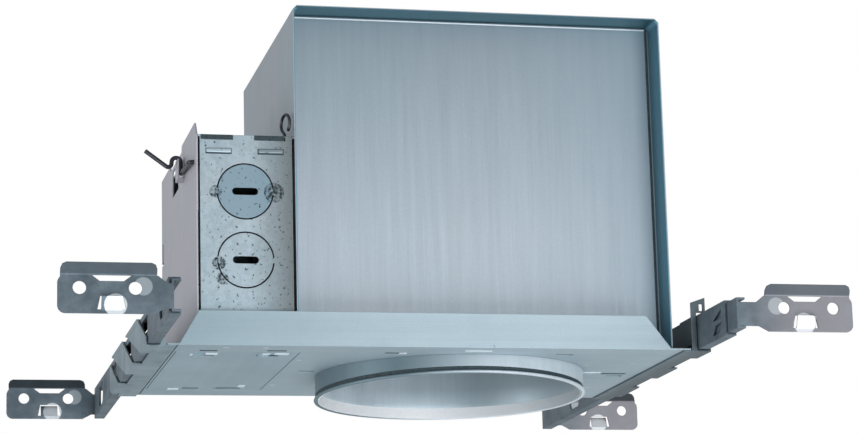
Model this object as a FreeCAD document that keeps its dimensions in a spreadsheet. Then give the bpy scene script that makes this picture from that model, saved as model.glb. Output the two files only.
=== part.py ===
"""Recessed light housing: a sheet-steel box on a mounting pan, with a wiring box and bar hangers.

Millimetres, +Z up. The origin is on the axis of the round collar, on the pan's underside, which is
the plane that lies on the back of a ceiling. +X runs along the pan away from the wiring box, and
-Y is the front, where the recessed panel and the knockouts are.
"""
import FreeCAD, Part
import math
import os
import re
import Sketcher

# Driving sizes in millimetres, one sheet cell each
SIZES = {
    # Mounting pan
    "pan_sheet": 0.8,
    "pan_left_margin": 14.9,
    "pan_right_margin": 8.8,
    "pan_step": 2.0,
    "pan_rear_step": 3.0,
    "lip_rise": 17.0,
    "lip_left_margin": 9.4,
    "lip_right_inset": 1.0,
    "lip_mitre_left": 10.0,
    "lip_mitre_right": 13.0,
    "lip_notch_width": 12.6,
    "lip_notch_rise": 1.4,
    "lip_notch_place": 3.5,
    "slot_length": 8.4,
    "slot_width": 4.4,
    "slot_side_room": 7.2,
    "slot_side_place": 8.5,
    "slot_outer_room": 19.0,
    "slot_outer_place": 2.0,
    "slot_front_place": 43.6,
    "slot_front_rise": 69.4,
    # Round collar and the ring inside it
    "collar_radius": 70.0,
    "collar_sheet": 0.8,
    "collar_drop": 14.0,
    "collar_flange": 7.0,
    "collar_bead": 0.7,
    "collar_neck": 1.2,
    "ring_gap": 1.0,
    "ring_sheet": 0.6,
    "ring_drop": 12.4,
    "ring_step": 5.5,
    "ring_inset": 0.8,
    "ring_flange": 1.0,
    # Box over the collar
    "box_side_room": 25.0,
    "box_front_room": 17.0,
    "box_rear_room": 5.0,
    "box_top": 172.0,
    "box_sheet": 0.8,
    "box_bevel": 2.2,
    "box_foot": 10.0,
    "box_foot_edge": 2.8,
    "front_recess": 15.5,
    "rear_recess": 3.0,
    "panel_flange": 9.0,
    "panel_bend": 0.9,
    "panel_bend_depth": 0.6,
    # Wiring box beside it
    "wiring_width": 48.6,
    "wiring_rear": 52.0,
    "wiring_top": 104.5,
    "wiring_sheet": 1.0,
    "wiring_flange": 9.0,
    "wiring_left_gap": 0.9,
    "wiring_right_gap": 1.4,
    "knockout_radius": 14.1,
    "knockout_slit": 0.7,
    "knockout_bridge": 3.0,
    "knockout_low": 42.3,
    "knockout_high": 76.4,
    "knockout_place": 24.8,
    "key_slot_length": 12.8,
    "key_slot_width": 3.6,
    "pryout_width": 12.4,
    "pryout_pitch": 26.0,
    "pryout_slit": 1.3,
    "pryout_rise": 96.2,
    "pryout_depth": 0.55,
    "top_slot_rise": 102.1,
    "top_slot_height": 1.9,
    # Side cover of the wiring box
    "cover_sheet": 0.8,
    "cover_top": 111.7,
    "cover_gap": 0.6,
    "cover_corner": 6.0,
    "cover_notch_front": -32.0,
    "cover_notch_rear": 16.0,
    "cover_notch_depth": 3.2,
    "cover_window_front": -18.0,
    "cover_window_rear": 6.0,
    "cover_window_low": 92.5,
    "cover_window_high": 106.5,
    # Access plate under the wiring box
    "plate_left_margin": 8.4,
    "plate_right_inset": 4.5,
    "plate_front": 68.5,
    "plate_rear": 56.5,
    "plate_gap": 0.4,
    "plate_lug": 11.0,
    "plate_lug_reach": 7.0,
    "plate_lug_pitch": 32.0,
    "plate_slot": 7.0,
    "plate_slot_lip": 1.3,
    "plate_arc": 9.0,
    "plate_arc_width": 2.6,
    # Latch wire and its hook on the side cover
    "wire_radius": 1.1,
    "wire_play": 0.3,
    "wire_fit": 0.08,
    "latch_place": -78.0,
    "latch_rise": 92.5,
    "latch_splay": 1.0,
    "hook_place": -38.5,
    "hook_width": 9.0,
    "hook_low": 91.8,
    "hook_tip": 102.4,
    "handle_reach": 14.0,
    "handle_rise": 8.5,
    "loop_radius": 4.6,
    "loop_place": -80.0,
    "loop_inset": 3.6,
    "loop_twist": 16.0,
    # Bar guides on the pan's two sides
    "guide_sheet": 0.8,
    "guide_gap": 2.6,
    "guide_lap": 3.5,
    "guide_rise": 18.9,
    "guide_inner_rise": 15.5,
    "guide_lip": 2.4,
    "guide_ear_rise": 26.6,
    "guide_ear_fall": 2.6,
    "guide_ear_inset": 2.2,
    "guide_ear_width": 7.5,
    "guide_recess": 4.4,
    "finger_first": -101.0,
    "finger_pitch": 67.5,
    "finger_foot": 34.0,
    "finger_top": 50.0,
    "finger_lean": 51.0,
    "tab_front": 88.0,
    "tab_length": 21.0,
    "tab_low": 3.2,
    "tab_high": 17.2,
    # Bar hangers
    "bar_sheet": 1.0,
    "bar_depth": 5.5,
    "bar_height": 17.2,
    "bar_play": 0.35,
    "bar_fit": 0.12,
    "bar_length": 347.0,
    "left_bar_near": 172.0,
    "right_bar_near": 146.0,
    "right_bar_drawn": 12.0,
    "bar_window_first": -146.5,
    "bar_window_pitch": 71.5,
    "bar_window_length": 24.0,
    "bar_window_height": 11.6,
    "bar_window_round": 5.4,
    "bar_window_shift": 7.0,
    # Feet of the bars
    "left_foot_reach": 48.8,
    "right_foot_reach": 53.4,
    "foot_plate": 45.0,
    "foot_neck_low": 2.6,
    "foot_neck_high": 14.2,
    "foot_height": 17.4,
    "foot_lip": 5.4,
    "foot_lip_lean": 2.4,
    "foot_corner": 3.6,
    "foot_lip_corner": 2.6,
    "nail_radius": 3.0,
    "nail_rise": 11.6,
    "nail_outer": 9.8,
    "nail_pitch": 25.0,
    "foot_middle": 24.2,
    "foot_slot_wide": 18.0,
    "foot_slot_narrow": 10.8,
    "foot_slot_height": 2.7,
    "foot_tab_wide": 12.8,
    "foot_tab_narrow": 10.2,
    "foot_tab_low": 1.8,
    "foot_tab_height": 6.2,
    "foot_tab_lean": 2.4,
    "foot_tab_slit": 0.4,
    # Lampholder and what carries it inside the box
    "strap_width": 24.0,
    "strap_sheet": 1.2,
    "strap_low": 92.0,
    "strap_slot_low": 104.0,
    "strap_slot_high": 158.0,
    "socket_plate_rise": 138.0,
    "socket_plate_half": 21.0,
    "socket_plate_front": 23.0,
    "socket_flange": 22.0,
    "holder_radius": 18.0,
    "holder_height": 42.0,
    "holder_wall": 3.9,
    "shell_radius": 13.2,
    "shell_sheet": 0.5,
    "shell_depth": 26.0,
    "clamp_screw_radius": 2.4,
    "clamp_screw_play": 0.35,
    "protector_length": 36.0,
    "protector_width": 18.0,
    "protector_height": 12.0,
    "protector_room": 43.0,
    "bushing_radius": 9.0,
    "bushing_wall": 2.2,
    "bushing_lip": 2.2,
    "bushing_place": 18.0,
    "bushing_rise": 62.0,
    # Fasteners
    "rivet_radius": 1.6,
    "rivet_head": 2.7,
    "rivet_head_height": 0.9,
    "rivet_play": 0.05,
    "ground_screw_radius": 2.0,
    "ground_head_radius": 4.4,
    "ground_head_height": 3.2,
}

# Sizes that follow from the driving ones, as formulas of the sheet
DERIVED = {
    "box_width": "2 * (collar_radius + box_side_room)",
    "box_front": "collar_radius + box_front_room",
    "box_rear": "collar_radius + box_rear_room",
    "pan_front": "box_front + pan_step",
    "pan_rear": "box_rear + pan_rear_step",
    "pan_left": "box_width / 2 + wiring_width + pan_left_margin",
    "pan_right": "box_width / 2 + pan_right_margin",
    "lip_left": "box_width / 2 + wiring_width + lip_left_margin",
    "lip_right": "box_width / 2 - lip_right_inset",
    "ring_radius": "collar_radius - collar_sheet - ring_gap",
    "plate_left": "box_width / 2 + wiring_width + plate_left_margin",
    "plate_right": "box_width / 2 - plate_right_inset",
    "protector_place": "box_width / 2 - protector_room",
}

# Small overlap that makes a cutting tool pass right through a face
THROUGH = "1"

# Places that several pieces share, as formulas of the sizes above
BOX_LEFT = "-box_width / 2"
BOX_RIGHT = "box_width / 2"
BOX_IN_LEFT = "-box_width / 2 + box_sheet"
BOX_IN_RIGHT = "box_width / 2 - box_sheet"
COLLAR_SEAT = "pan_sheet + collar_sheet"
PANEL_SEAT = "pan_sheet + collar_sheet + ring_sheet"
PANEL_FACE = "-box_front + front_recess"
REAR_FACE = "box_rear - rear_recess"
COVER_OUT = "-box_width / 2 - wiring_width"
COVER_IN = "-box_width / 2 - wiring_width + cover_sheet"
KNOCKOUT_X = "-box_width / 2 - knockout_place"
GUIDE_OUT = "guide_gap + 2 * guide_sheet + bar_depth + 2 * bar_play"
GUIDE_IN = "guide_gap + guide_sheet"
INNER_DEPTH = "bar_depth - bar_sheet - 2 * bar_fit"
BAR_LOW = "bar_play"
BAR_HIGH = "bar_play + bar_height"
HOLDER_LOW = "socket_plate_rise - holder_height"
STRAP_FRONT = "box_rear - rear_recess - strap_sheet"

NAME = re.compile(r"[a-z][a-z0-9_]*")
PLANES = {
    "XY": (FreeCAD.Rotation(), FreeCAD.Vector(0, 0, 1), "z"),
    "XZ": (FreeCAD.Rotation(FreeCAD.Vector(1, 0, 0), 90), FreeCAD.Vector(0, 1, 0), "y"),
    "YZ": (FreeCAD.Rotation(FreeCAD.Vector(1, 1, 1), 120), FreeCAD.Vector(1, 0, 0), "x"),
}
RODS = {
    "X": FreeCAD.Rotation(FreeCAD.Vector(0, 1, 0), 90),
    "Y": FreeCAD.Rotation(FreeCAD.Vector(1, 0, 0), -90),
    "Z": FreeCAD.Rotation(),
}

doc = FreeCAD.newDocument("recessed_light_housing")
sheet = doc.addObject("Spreadsheet::Sheet", "Sizes")
for row, (alias, value) in enumerate(SIZES.items(), start=1):
    sheet.set(f"A{row}", alias)
    sheet.set(f"B{row}", str(value))
    sheet.setAlias(f"B{row}", alias)
doc.recompute()
for row, (alias, formula) in enumerate(DERIVED.items(), start=len(SIZES) + 2):
    sheet.set(f"A{row}", alias)
    sheet.set(f"B{row}", "=" + formula)
    sheet.setAlias(f"B{row}", alias)
    doc.recompute()

nodes = []


def bound(formula):
    """Turn the size names in a formula into references to the sheet's cells."""
    known = lambda name: name in SIZES or name in DERIVED
    return NAME.sub(lambda m: "Sizes." + m.group(0) if known(m.group(0)) else m.group(0), str(formula))


def val(formula):
    """The present value of a formula, for steps that need a plain number."""
    result = sheet.evalExpression(bound(formula))
    return float(getattr(result, "Value", result))


def place(obj, x, y, z):
    """Bind an object's position to three formulas."""
    for axis, formula in zip("xyz", (x, y, z)):
        obj.setExpression(f"Placement.Base.{axis}", bound(formula))
    return obj


def block(x0, x1, y0, y1, z0, z1):
    """A box between two corners, each coordinate a formula."""
    obj = doc.addObject("Part::Box", "block")
    obj.setExpression("Length", bound(f"({x1}) - ({x0})"))
    obj.setExpression("Width", bound(f"({y1}) - ({y0})"))
    obj.setExpression("Height", bound(f"({z1}) - ({z0})"))
    return place(obj, x0, y0, z0)


def rod(axis, radius, length, x, y, z):
    """A cylinder that starts at a point and runs along +X, +Y or +Z."""
    obj = doc.addObject("Part::Cylinder", "rod")
    obj.Placement.Rotation = RODS[axis]
    obj.setExpression("Radius", bound(radius))
    obj.setExpression("Height", bound(length))
    return place(obj, x, y, z)


def outline(plane, points, start):
    """A closed sketch of straight edges whose corners are all bound to the sheet."""
    rotation, _, axis = PLANES[plane]
    sketch = doc.addObject("Sketcher::SketchObject", "outline")
    sketch.Placement = FreeCAD.Placement(FreeCAD.Vector(), rotation)
    corners = [FreeCAD.Vector(val(a), val(b), 0) for a, b in points]
    count = len(corners)
    for index in range(count):
        sketch.addGeometry(Part.LineSegment(corners[index], corners[(index + 1) % count]), False)
    for index in range(count):
        sketch.addConstraint(Sketcher.Constraint("Coincident", index, 2, (index + 1) % count, 1))
    for index, (a, b) in enumerate(points):
        for kind, formula in (("DistanceX", a), ("DistanceY", b)):
            number = sketch.addConstraint(Sketcher.Constraint(kind, -1, 1, index, 1, val(formula)))
            sketch.setExpression(f"Constraints[{number}]", bound(formula))
    sketch.setExpression(f"Placement.Base.{axis}", bound(start))
    return sketch


def prism(plane, points, start, end):
    """A solid with a straight-edged outline, between two planes parallel to a main plane."""
    obj = doc.addObject("Part::Extrusion", "prism")
    obj.Base = outline(plane, points, start)
    obj.DirMode = "Custom"
    obj.Dir = PLANES[plane][1]
    obj.Solid = True
    obj.setExpression("LengthFwd", bound(f"({end}) - ({start})"))
    return obj


def turned(points, x="0", y="0", z="0"):
    """A solid of revolution about Z; the points are radius and height."""
    obj = doc.addObject("Part::Revolution", "turned")
    obj.Source = outline("XZ", points, "0")
    obj.Axis = FreeCAD.Vector(0, 0, 1)
    obj.Angle = 360
    obj.Solid = True
    return place(obj, x, y, z)


def join(*parts):
    """One solid from several that touch or overlap."""
    if len(parts) == 1:
        return parts[0]
    obj = doc.addObject("Part::MultiFuse", "joined")
    obj.Shapes = list(parts)
    obj.Refine = True
    return obj


def cut(base, *tools):
    """A solid with others taken out of it."""
    obj = doc.addObject("Part::Cut", "trimmed")
    obj.Base = base
    obj.Tool = join(*tools)
    obj.Refine = True
    return obj


def overlap(one, other):
    """What two solids share."""
    obj = doc.addObject("Part::Common", "shared")
    obj.Base = one
    obj.Tool = other
    return obj


def group(*parts):
    """Several separate solids of one kind that share a node."""
    obj = doc.addObject("Part::Compound", "group")
    obj.Links = list(parts)
    return obj


def soften(base, radius, direction, keep):
    """Round the straight edges along a direction whose midpoint passes a test."""
    doc.recompute()
    chosen = []
    for number, edge in enumerate(base.Shape.Edges, start=1):
        if edge.Curve.TypeId != "Part::GeomLine":
            continue
        run = (edge.Vertexes[-1].Point - edge.Vertexes[0].Point).normalize()
        if abs(run.dot(direction)) > 0.999 and keep(edge.CenterOfMass):
            chosen.append((number, val(radius), val(radius)))
    obj = doc.addObject("Part::Fillet", "softened")
    obj.Base = base
    obj.Edges = chosen
    return obj


def wire_solid(radius, points, bend):
    """A round wire along straight runs joined by tangent arcs of one bend radius."""
    runs = []
    last = points[0]
    for before, corner, after in zip(points, points[1:], points[2:]):
        into = (corner - before).normalize()
        out = (after - corner).normalize()
        turn = into.getAngle(out)
        trim = min(bend * math.tan(turn / 2), corner.distanceToPoint(before) / 2.05,
                   corner.distanceToPoint(after) / 2.05)
        start = corner - into * trim
        end = corner + out * trim
        inside = (out - into).normalize()
        size = trim / math.tan(turn / 2)
        centre = corner + inside * (size / math.cos(turn / 2))
        middle = centre - inside * size
        runs.append(Part.LineSegment(last, start).toShape())
        runs.append(Part.Arc(start, middle, end).toShape())
        last = end
    runs.append(Part.LineSegment(last, points[-1]).toShape())
    path = Part.Wire(runs)
    first = (points[1] - points[0]).normalize()
    ring = Part.Wire(Part.Circle(points[0], first, radius).toShape())
    return path.makePipeShell([ring], True, False)


def made(shape, name):
    """An object that holds a shape made in code from the sheet's values."""
    obj = doc.addObject("Part::Feature", name)
    obj.Shape = shape
    return obj


def node(name, obj):
    """Label a finished piece and list it for the hand-over."""
    obj.Label = name
    nodes.append(obj)
    return obj


def span(side, edge, near, far):
    """The low and high X of a stretch measured outward from the pan's left or right edge."""
    if side > 0:
        return f"{edge} + ({near})", f"{edge} + ({far})"
    return f"-({edge}) - ({far})", f"-({edge}) - ({near})"


def reach(side, edge, out):
    """The X of a point measured outward from the pan's left or right edge."""
    return f"{edge} + ({out})" if side > 0 else f"-({edge}) - ({out})"


# Mounting pan
def mounting_pan():
    """The folded base sheet: a plate with a bent-up lip in front and behind."""
    plate = block("-pan_left", "pan_right", "-pan_front", "pan_rear", "0", "pan_sheet")
    lip = [("-lip_left", "0"), ("lip_right", "0"), ("lip_right - lip_mitre_right", "lip_rise"),
           ("-lip_left + lip_mitre_left", "lip_rise")]
    front = prism("XZ", lip, "-pan_front", "-pan_front + pan_sheet")
    rear = prism("XZ", lip, "pan_rear - pan_sheet", "pan_rear")
    body = join(plate, front, rear)
    opening = rod("Z", "collar_radius - collar_neck + rivet_play", "pan_sheet + 2", "0", "0", f"-{THROUGH}")
    access = block("-plate_left", "-plate_right", "-plate_front", "plate_rear", f"-{THROUGH}", "pan_sheet + 1")
    notch = block("-lip_notch_place - lip_notch_width / 2", "-lip_notch_place + lip_notch_width / 2",
                  "-pan_front - 1", "-pan_front + pan_sheet / 2", f"-{THROUGH}", "lip_notch_rise")
    spring_slots = [
        block(f"{x} - slot_length / 2", f"{x} + slot_length / 2", f"{y} - slot_width / 2", f"{y} + slot_width / 2",
              f"-{THROUGH}", "pan_sheet + 1") for x, y in SLOT_PLACES]
    holes = [rod("Z", "rivet_radius + rivet_play", "pan_sheet + 2", x, y, f"-{THROUGH}")
             for x, y in BOX_RIVETS + COLLAR_RIVETS + WIRING_RIVETS]
    return node("mounting_pan", cut(body, opening, access, notch, *spring_slots, *holes))


# Places of the slots for the trim's springs and for the guides' prongs
SLOT_PLACES = [("(collar_radius + slot_side_room)", "(-slot_side_place)"),
               ("(collar_radius + slot_outer_room)", "(-slot_outer_place)"),
               ("(-collar_radius - slot_side_room)", "(-slot_side_place)"),
               ("slot_front_place", "(-slot_front_rise)"), ("(-slot_front_place)", "(-slot_front_rise)")]
# Places of the three sets of rivets
FOOT_MIDDLE = "box_width / 2 - box_sheet - box_foot + box_foot_edge"
BOX_RIVETS = [(f"{sign}({FOOT_MIDDLE})", y) for sign in ("", "-") for y in ("-pan_front / 2", "pan_rear / 2")]
COLLAR_RIVET_RING = "(collar_radius + collar_flange / 2 + 0.6)"
COLLAR_RIVETS = [(f"{COLLAR_RIVET_RING} * {math.cos(math.radians(a)):.6f}",
                  f"{COLLAR_RIVET_RING} * {math.sin(math.radians(a)):.6f}") for a in (30, 150, 210, 330)]
WIRING_RIVETS = [(f"-box_width / 2 - {share} * wiring_width", "-box_front + wiring_sheet + wiring_flange / 2")
                 for share in (0.3, 0.7)]


# Collar and ring
def aperture_collar():
    """The round neck: a flange on the pan, a cylinder through it and a beaded rim."""
    section = [
        ("collar_radius - collar_sheet - collar_bead", "-collar_drop"),
        ("collar_radius", "-collar_drop"),
        ("collar_radius", "0"),
        ("collar_radius - collar_neck", "0"),
        ("collar_radius - collar_neck", "pan_sheet"),
        ("collar_radius + collar_flange", "pan_sheet"),
        ("collar_radius + collar_flange", COLLAR_SEAT),
        ("collar_radius - collar_neck - collar_sheet", COLLAR_SEAT),
        ("collar_radius - collar_neck - collar_sheet", "-collar_sheet"),
        ("collar_radius - collar_sheet", "-collar_sheet"),
        ("collar_radius - collar_sheet", "-collar_drop + 2 * collar_bead"),
        ("collar_radius - collar_sheet - collar_bead", "-collar_drop + collar_bead"),
    ]
    holes = [rod("Z", "rivet_radius + rivet_play", "collar_sheet + 2", x, y, "pan_sheet - 1")
             for x, y in COLLAR_RIVETS]
    return node("aperture_collar", cut(turned(section), *holes))


def trim_ring():
    """The thin ring inside the collar, stepped inward part of the way up."""
    upper = "ring_radius - ring_inset"
    section = [
        ("ring_radius - ring_sheet", "-ring_drop"),
        ("ring_radius", "-ring_drop"),
        ("ring_radius", "-ring_step"),
        (upper, "-ring_step + ring_inset"),
        (upper, COLLAR_SEAT),
        ("collar_radius + ring_flange", COLLAR_SEAT),
        ("collar_radius + ring_flange", PANEL_SEAT),
        (f"{upper} - ring_sheet", PANEL_SEAT),
        (f"{upper} - ring_sheet", "-ring_step + ring_inset"),
        ("ring_radius - ring_sheet", "-ring_step"),
    ]
    return node("trim_ring", turned(section))


# Box
def box_section(low, inset, bevel):
    """The outside of the box in front view, drawn in by an inset."""
    half = f"box_width / 2 - ({inset})"
    top = f"box_top - ({inset})"
    return [(f"-({half})", low), (half, low), (half, f"{top} - {bevel}"), (f"{half} - {bevel}", top),
            (f"-({half}) + {bevel}", top), (f"-({half})", f"{top} - {bevel}")]


def box_wrapper():
    """One sheet folded over the box as left wall, top and right wall, with feet on the pan."""
    outside = prism("XZ", box_section("pan_sheet", "0", "box_bevel"), "-box_front", "box_rear")
    inside = prism("XZ", box_section("pan_sheet - 1", "box_sheet", "box_bevel"), "-box_front - 1", "box_rear + 1")
    shell = cut(outside, inside)
    foot_front = f"{PANEL_FACE} + box_sheet + panel_flange"
    foot_rear = f"{REAR_FACE} - box_sheet - panel_flange"
    feet = [
        block(BOX_IN_LEFT, f"{BOX_IN_LEFT} + box_foot", foot_front, foot_rear, "pan_sheet", "pan_sheet + box_sheet"),
        block(f"{BOX_IN_RIGHT} - box_foot", BOX_IN_RIGHT, foot_front, foot_rear, "pan_sheet",
              "pan_sheet + box_sheet"),
    ]
    holes = [rod("Z", "rivet_radius + rivet_play", "box_sheet + 2", x, y, "pan_sheet - 1") for x, y in BOX_RIVETS]
    passage = rod("X", "bushing_radius + rivet_play", "box_sheet + 2", f"{BOX_LEFT} - 1", "bushing_place",
                  "bushing_rise")
    return node("box_wrapper", cut(join(shell, *feet), *holes, passage))


def box_panel(name, face, inward):
    """An end panel set into the wrapper, its edges folded inward along three sides."""
    back = f"{face} + {inward} * box_sheet"
    deep = f"{face} + {inward} * (box_sheet + panel_flange)"
    low, high = (face, deep) if inward > 0 else (deep, face)
    hollow_low, hollow_high = (back, f"{deep} + 1") if inward > 0 else (f"{deep} - 1", back)
    step = f"{face} + {inward} * panel_bend_depth"
    rim_low, rim_high = (step, high) if inward > 0 else (low, step)
    face_low, face_high = (face, back) if inward > 0 else (back, face)
    tray = prism("XZ", box_section(PANEL_SEAT, "box_sheet", "box_bevel"), rim_low, rim_high)
    hollow = prism("XZ", box_section(f"{PANEL_SEAT} - 1", "2 * box_sheet", "box_bevel"), hollow_low, hollow_high)
    plate = prism("XZ", box_section(PANEL_SEAT, "box_sheet + panel_bend", "box_bevel"), face_low, face_high)
    return node(name, join(cut(tray, hollow), plate))


# Wiring box
def knockout(height):
    """The cutters of one knockout: a ring slit with two bridges, and the slot for a screwdriver."""
    wall = ("-box_front - 1", "-box_front + wiring_sheet + 1")
    ring = cut(rod("Y", "knockout_radius", "wiring_sheet + 2", KNOCKOUT_X, wall[0], height),
               rod("Y", "knockout_radius - knockout_slit", "wiring_sheet + 4", KNOCKOUT_X, f"{wall[0]} - 1", height),
               block(f"{KNOCKOUT_X} - knockout_radius - 1", f"{KNOCKOUT_X} + knockout_radius + 1", f"{wall[0]} - 1",
                     f"{wall[1]} + 1", f"{height} - knockout_bridge / 2", f"{height} + knockout_bridge / 2"))
    half = "(key_slot_length - key_slot_width) / 2"
    slot = join(
        block(f"{KNOCKOUT_X} - {half}", f"{KNOCKOUT_X} + {half}", wall[0], wall[1],
              f"{height} - key_slot_width / 2", f"{height} + key_slot_width / 2"),
        rod("Y", "key_slot_width / 2", "wiring_sheet + 2", f"{KNOCKOUT_X} - {half}", wall[0], height),
        rod("Y", "key_slot_width / 2", "wiring_sheet + 2", f"{KNOCKOUT_X} + {half}", wall[0], height))
    return [ring, slot]


def wiring_box():
    """One sheet folded as front, top and rear, with knockouts and cable pry-outs in the front."""
    left = COVER_IN
    front = block(f"{left} + wiring_left_gap", f"{BOX_LEFT} - wiring_right_gap", "-box_front",
                  "-box_front + wiring_sheet", "pan_sheet", "wiring_top")
    top = block(left, BOX_LEFT, "-box_front", "wiring_rear", "wiring_top - wiring_sheet", "wiring_top")
    rear = block(left, BOX_LEFT, "wiring_rear - wiring_sheet", "wiring_rear", "pan_sheet", "wiring_top")
    foot = block(f"{left} + wiring_left_gap", f"{BOX_LEFT} - wiring_right_gap", "-box_front", "-box_front + wiring_sheet + wiring_flange",
                 "pan_sheet", "pan_sheet + wiring_sheet")
    ear = block(f"{BOX_LEFT} - wiring_sheet", BOX_LEFT, "wiring_rear - wiring_sheet - wiring_flange", "wiring_rear",
                "pan_sheet", "wiring_top")
    stop = block(left, f"{left} + wiring_sheet", "wiring_rear - wiring_sheet - wiring_flange", "wiring_rear",
                 "pan_sheet + 2 * wiring_sheet", "wiring_top")
    tools = knockout("knockout_low") + knockout("knockout_high")
    for sign in ("-", "+"):
        middle = f"({KNOCKOUT_X} {sign} pryout_pitch / 2)"
        low, high = f"{middle} - pryout_width / 2", f"{middle} + pryout_width / 2"
        tools.append(block(low, high, "-box_front - 1", "-box_front + pryout_depth", "pryout_rise - pryout_slit / 2",
                           "pryout_rise + pryout_slit / 2"))
        tools.append(block(f"{low} - 1", f"{high} + 1", "-box_front - 1", "-box_front + wiring_sheet", "top_slot_rise",
                           "top_slot_rise + top_slot_height"))
    tools += [rod("Z", "rivet_radius + rivet_play", "wiring_sheet + 2", x, y, "pan_sheet - 1")
              for x, y in WIRING_RIVETS]
    tools.append(rod("Y", "ground_screw_radius + rivet_play", "wiring_sheet + 2", KNOCKOUT_X,
                     "wiring_rear - wiring_sheet - 1", "knockout_low"))
    tools.append(rod("Z", "wire_radius + wire_play", "wiring_sheet + 2", f"{BOX_LEFT} - loop_inset", "loop_place",
                     "wiring_top - wiring_sheet - 1"))
    return node("wiring_box", cut(join(front, top, rear, foot, ear, stop), *tools))


def side_cover():
    """The removable side of the wiring box, with the hook that the latch wire snaps over."""
    front = "-box_front + cover_gap"
    profile = [(front, "pan_sheet + cover_gap"), ("wiring_rear", "pan_sheet + cover_gap"), ("wiring_rear", "cover_top"),
               ("cover_notch_rear", "cover_top"), ("cover_notch_rear - 1.5", "cover_top - cover_notch_depth"),
               ("cover_notch_front + 1.5", "cover_top - cover_notch_depth"), ("cover_notch_front", "cover_top"),
               (f"{front} + cover_corner", "cover_top"), (front, "wiring_top")]
    plate = prism("YZ", profile, COVER_OUT, COVER_IN)
    hook_low, hook_high = "hook_place - hook_width / 2", "hook_place + hook_width / 2"
    stand = "(2 * wire_radius + 2 * wire_play)"
    arm = block(f"{COVER_OUT} - {stand} - cover_sheet", COVER_IN, hook_low, hook_high, "hook_low",
                "hook_low + cover_sheet")
    finger = block(f"{COVER_OUT} - {stand} - cover_sheet", f"{COVER_OUT} - {stand}", hook_low, hook_high, "hook_low",
                   "hook_tip")
    window = block(f"{COVER_OUT} - 1", f"{COVER_IN} + 1", "cover_window_front", "cover_window_rear",
                   "cover_window_low", "cover_window_high")
    gap = block(f"{COVER_OUT} - 1", f"{COVER_IN} + 1", f"{front} - 1", f"{front} + cover_sheet", "lip_rise - 2",
                "knockout_high - 10")
    slit = block(f"{COVER_OUT} - 1", f"{COVER_IN} + 1", "wiring_rear - 7", "wiring_rear + 1", "65", "66.4")
    hole = rod("X", "wire_radius + wire_fit", "cover_sheet + 2", f"{COVER_OUT} - 1", "latch_place", "latch_rise")
    return node("side_cover", cut(join(plate, arm, finger), window, gap, slit, hole))


def access_plate():
    """The plate that closes the pan under the wiring box, hung on lugs that lie on the pan."""
    left, right = "-plate_left + plate_gap", "-plate_right - plate_gap"
    front, rear = "-plate_front + plate_gap", "plate_rear - plate_gap"
    parts = [block(left, right, front, rear, "0", "pan_sheet")]
    slots = []
    middle = "-(plate_left + plate_right) / 2"
    for sign in ("-", "+"):
        low = f"{middle} {sign} plate_lug_pitch / 2 - plate_lug / 2"
        high = f"{middle} {sign} plate_lug_pitch / 2 + plate_lug / 2"
        parts.append(block(low, high, f"{front} - plate_gap - 2.5", f"{front} + plate_lug_reach", "pan_sheet",
                           "2 * pan_sheet"))
        parts.append(block(low, high, f"{rear} - 1", f"{rear} + plate_gap + 3.5", "pan_sheet", "2 * pan_sheet"))
        back = f"{front} + plate_lug_reach"
        slots.append(block(low, high, f"{back} + 0.2", f"{back} + plate_slot", "-1", "pan_sheet + 1"))
        parts.append(block(low, f"({low} + {high}) / 2", f"{back} - 1", f"{back} + 0.2", "-plate_slot_lip", "pan_sheet"))
        centre = f"{middle} {sign} plate_lug_pitch / 4"
        slots.append(cut(rod("Z", "plate_arc / 2", "pan_sheet + 2", centre, f"{rear} - 7", "-1"),
                         rod("Z", "plate_arc / 2 - plate_arc_width", "pan_sheet + 4", centre, f"{rear} - 7", "-2"),
                         block(f"{centre} - plate_arc", f"{centre} + plate_arc", f"{rear} - 7 - plate_arc",
                               f"{rear} - 7 + plate_arc / 8", "-2", "pan_sheet + 2")))
    return node("access_plate", cut(join(*parts), *slots))


def latch_wire():
    """The spring wire that turns in the side cover and hooks over its finger."""
    out = val(COVER_OUT) - val("wire_play") - val("wire_radius")
    beyond = val(COVER_OUT) - 3 * val("wire_play") - val("cover_sheet") - 3 * val("wire_radius") - 0.8
    pivot_y, pivot_z = val("latch_place"), val("latch_rise")
    hook_y = val("hook_place")
    low = val("hook_low") + val("cover_sheet") + val("wire_play") + 2.2 * val("wire_radius")
    crest = val("hook_tip") + val("wire_play") + val("wire_radius")
    bend = 1.95 * val("wire_radius")
    inside = val(COVER_IN) + 9
    points = [FreeCAD.Vector(*p) for p in (
        (inside, pivot_y, pivot_z + 5),
        (inside, pivot_y, pivot_z),
        (out - val("latch_splay"), pivot_y, pivot_z),
        (out, hook_y - 7, pivot_z + 2.6),
        (out, hook_y, low),
        (out, hook_y, crest),
        (beyond, hook_y, crest),
        (beyond - 0.6, hook_y, low + 2.2),
        (beyond - val("handle_reach"), hook_y - 4, low + 2.2 + val("handle_rise")),
    )]
    return node("latch_wire", made(wire_solid(val("wire_radius"), points, bend), "latch"))


def wire_loop():
    """The looped wire end that stands out of the wiring box's top beside the box."""
    x = val(BOX_LEFT) - val("loop_inset")
    y = val("loop_place")
    wire = val("wire_radius")
    size = val("loop_radius")
    neck = val("wiring_top") + 2.5
    turns = 12
    twist = math.radians(val("loop_twist"))
    points = [FreeCAD.Vector(x, y, val("wiring_top") - 14), FreeCAD.Vector(x, y, neck)]
    centre = FreeCAD.Vector(x, y, neck + size + wire)
    for step in range(1, turns):
        angle = -math.pi / 2 + 2 * math.pi * step / turns
        swing = size * math.cos(angle)
        points.append(centre + FreeCAD.Vector(0.6 * wire * step / turns - swing * math.sin(twist),
                                              swing * math.cos(twist), size * math.sin(angle)))
    loop = wire_solid(0.7 * wire, points, size * 0.9)
    return node("wire_loop", made(loop, "loop"))


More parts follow.
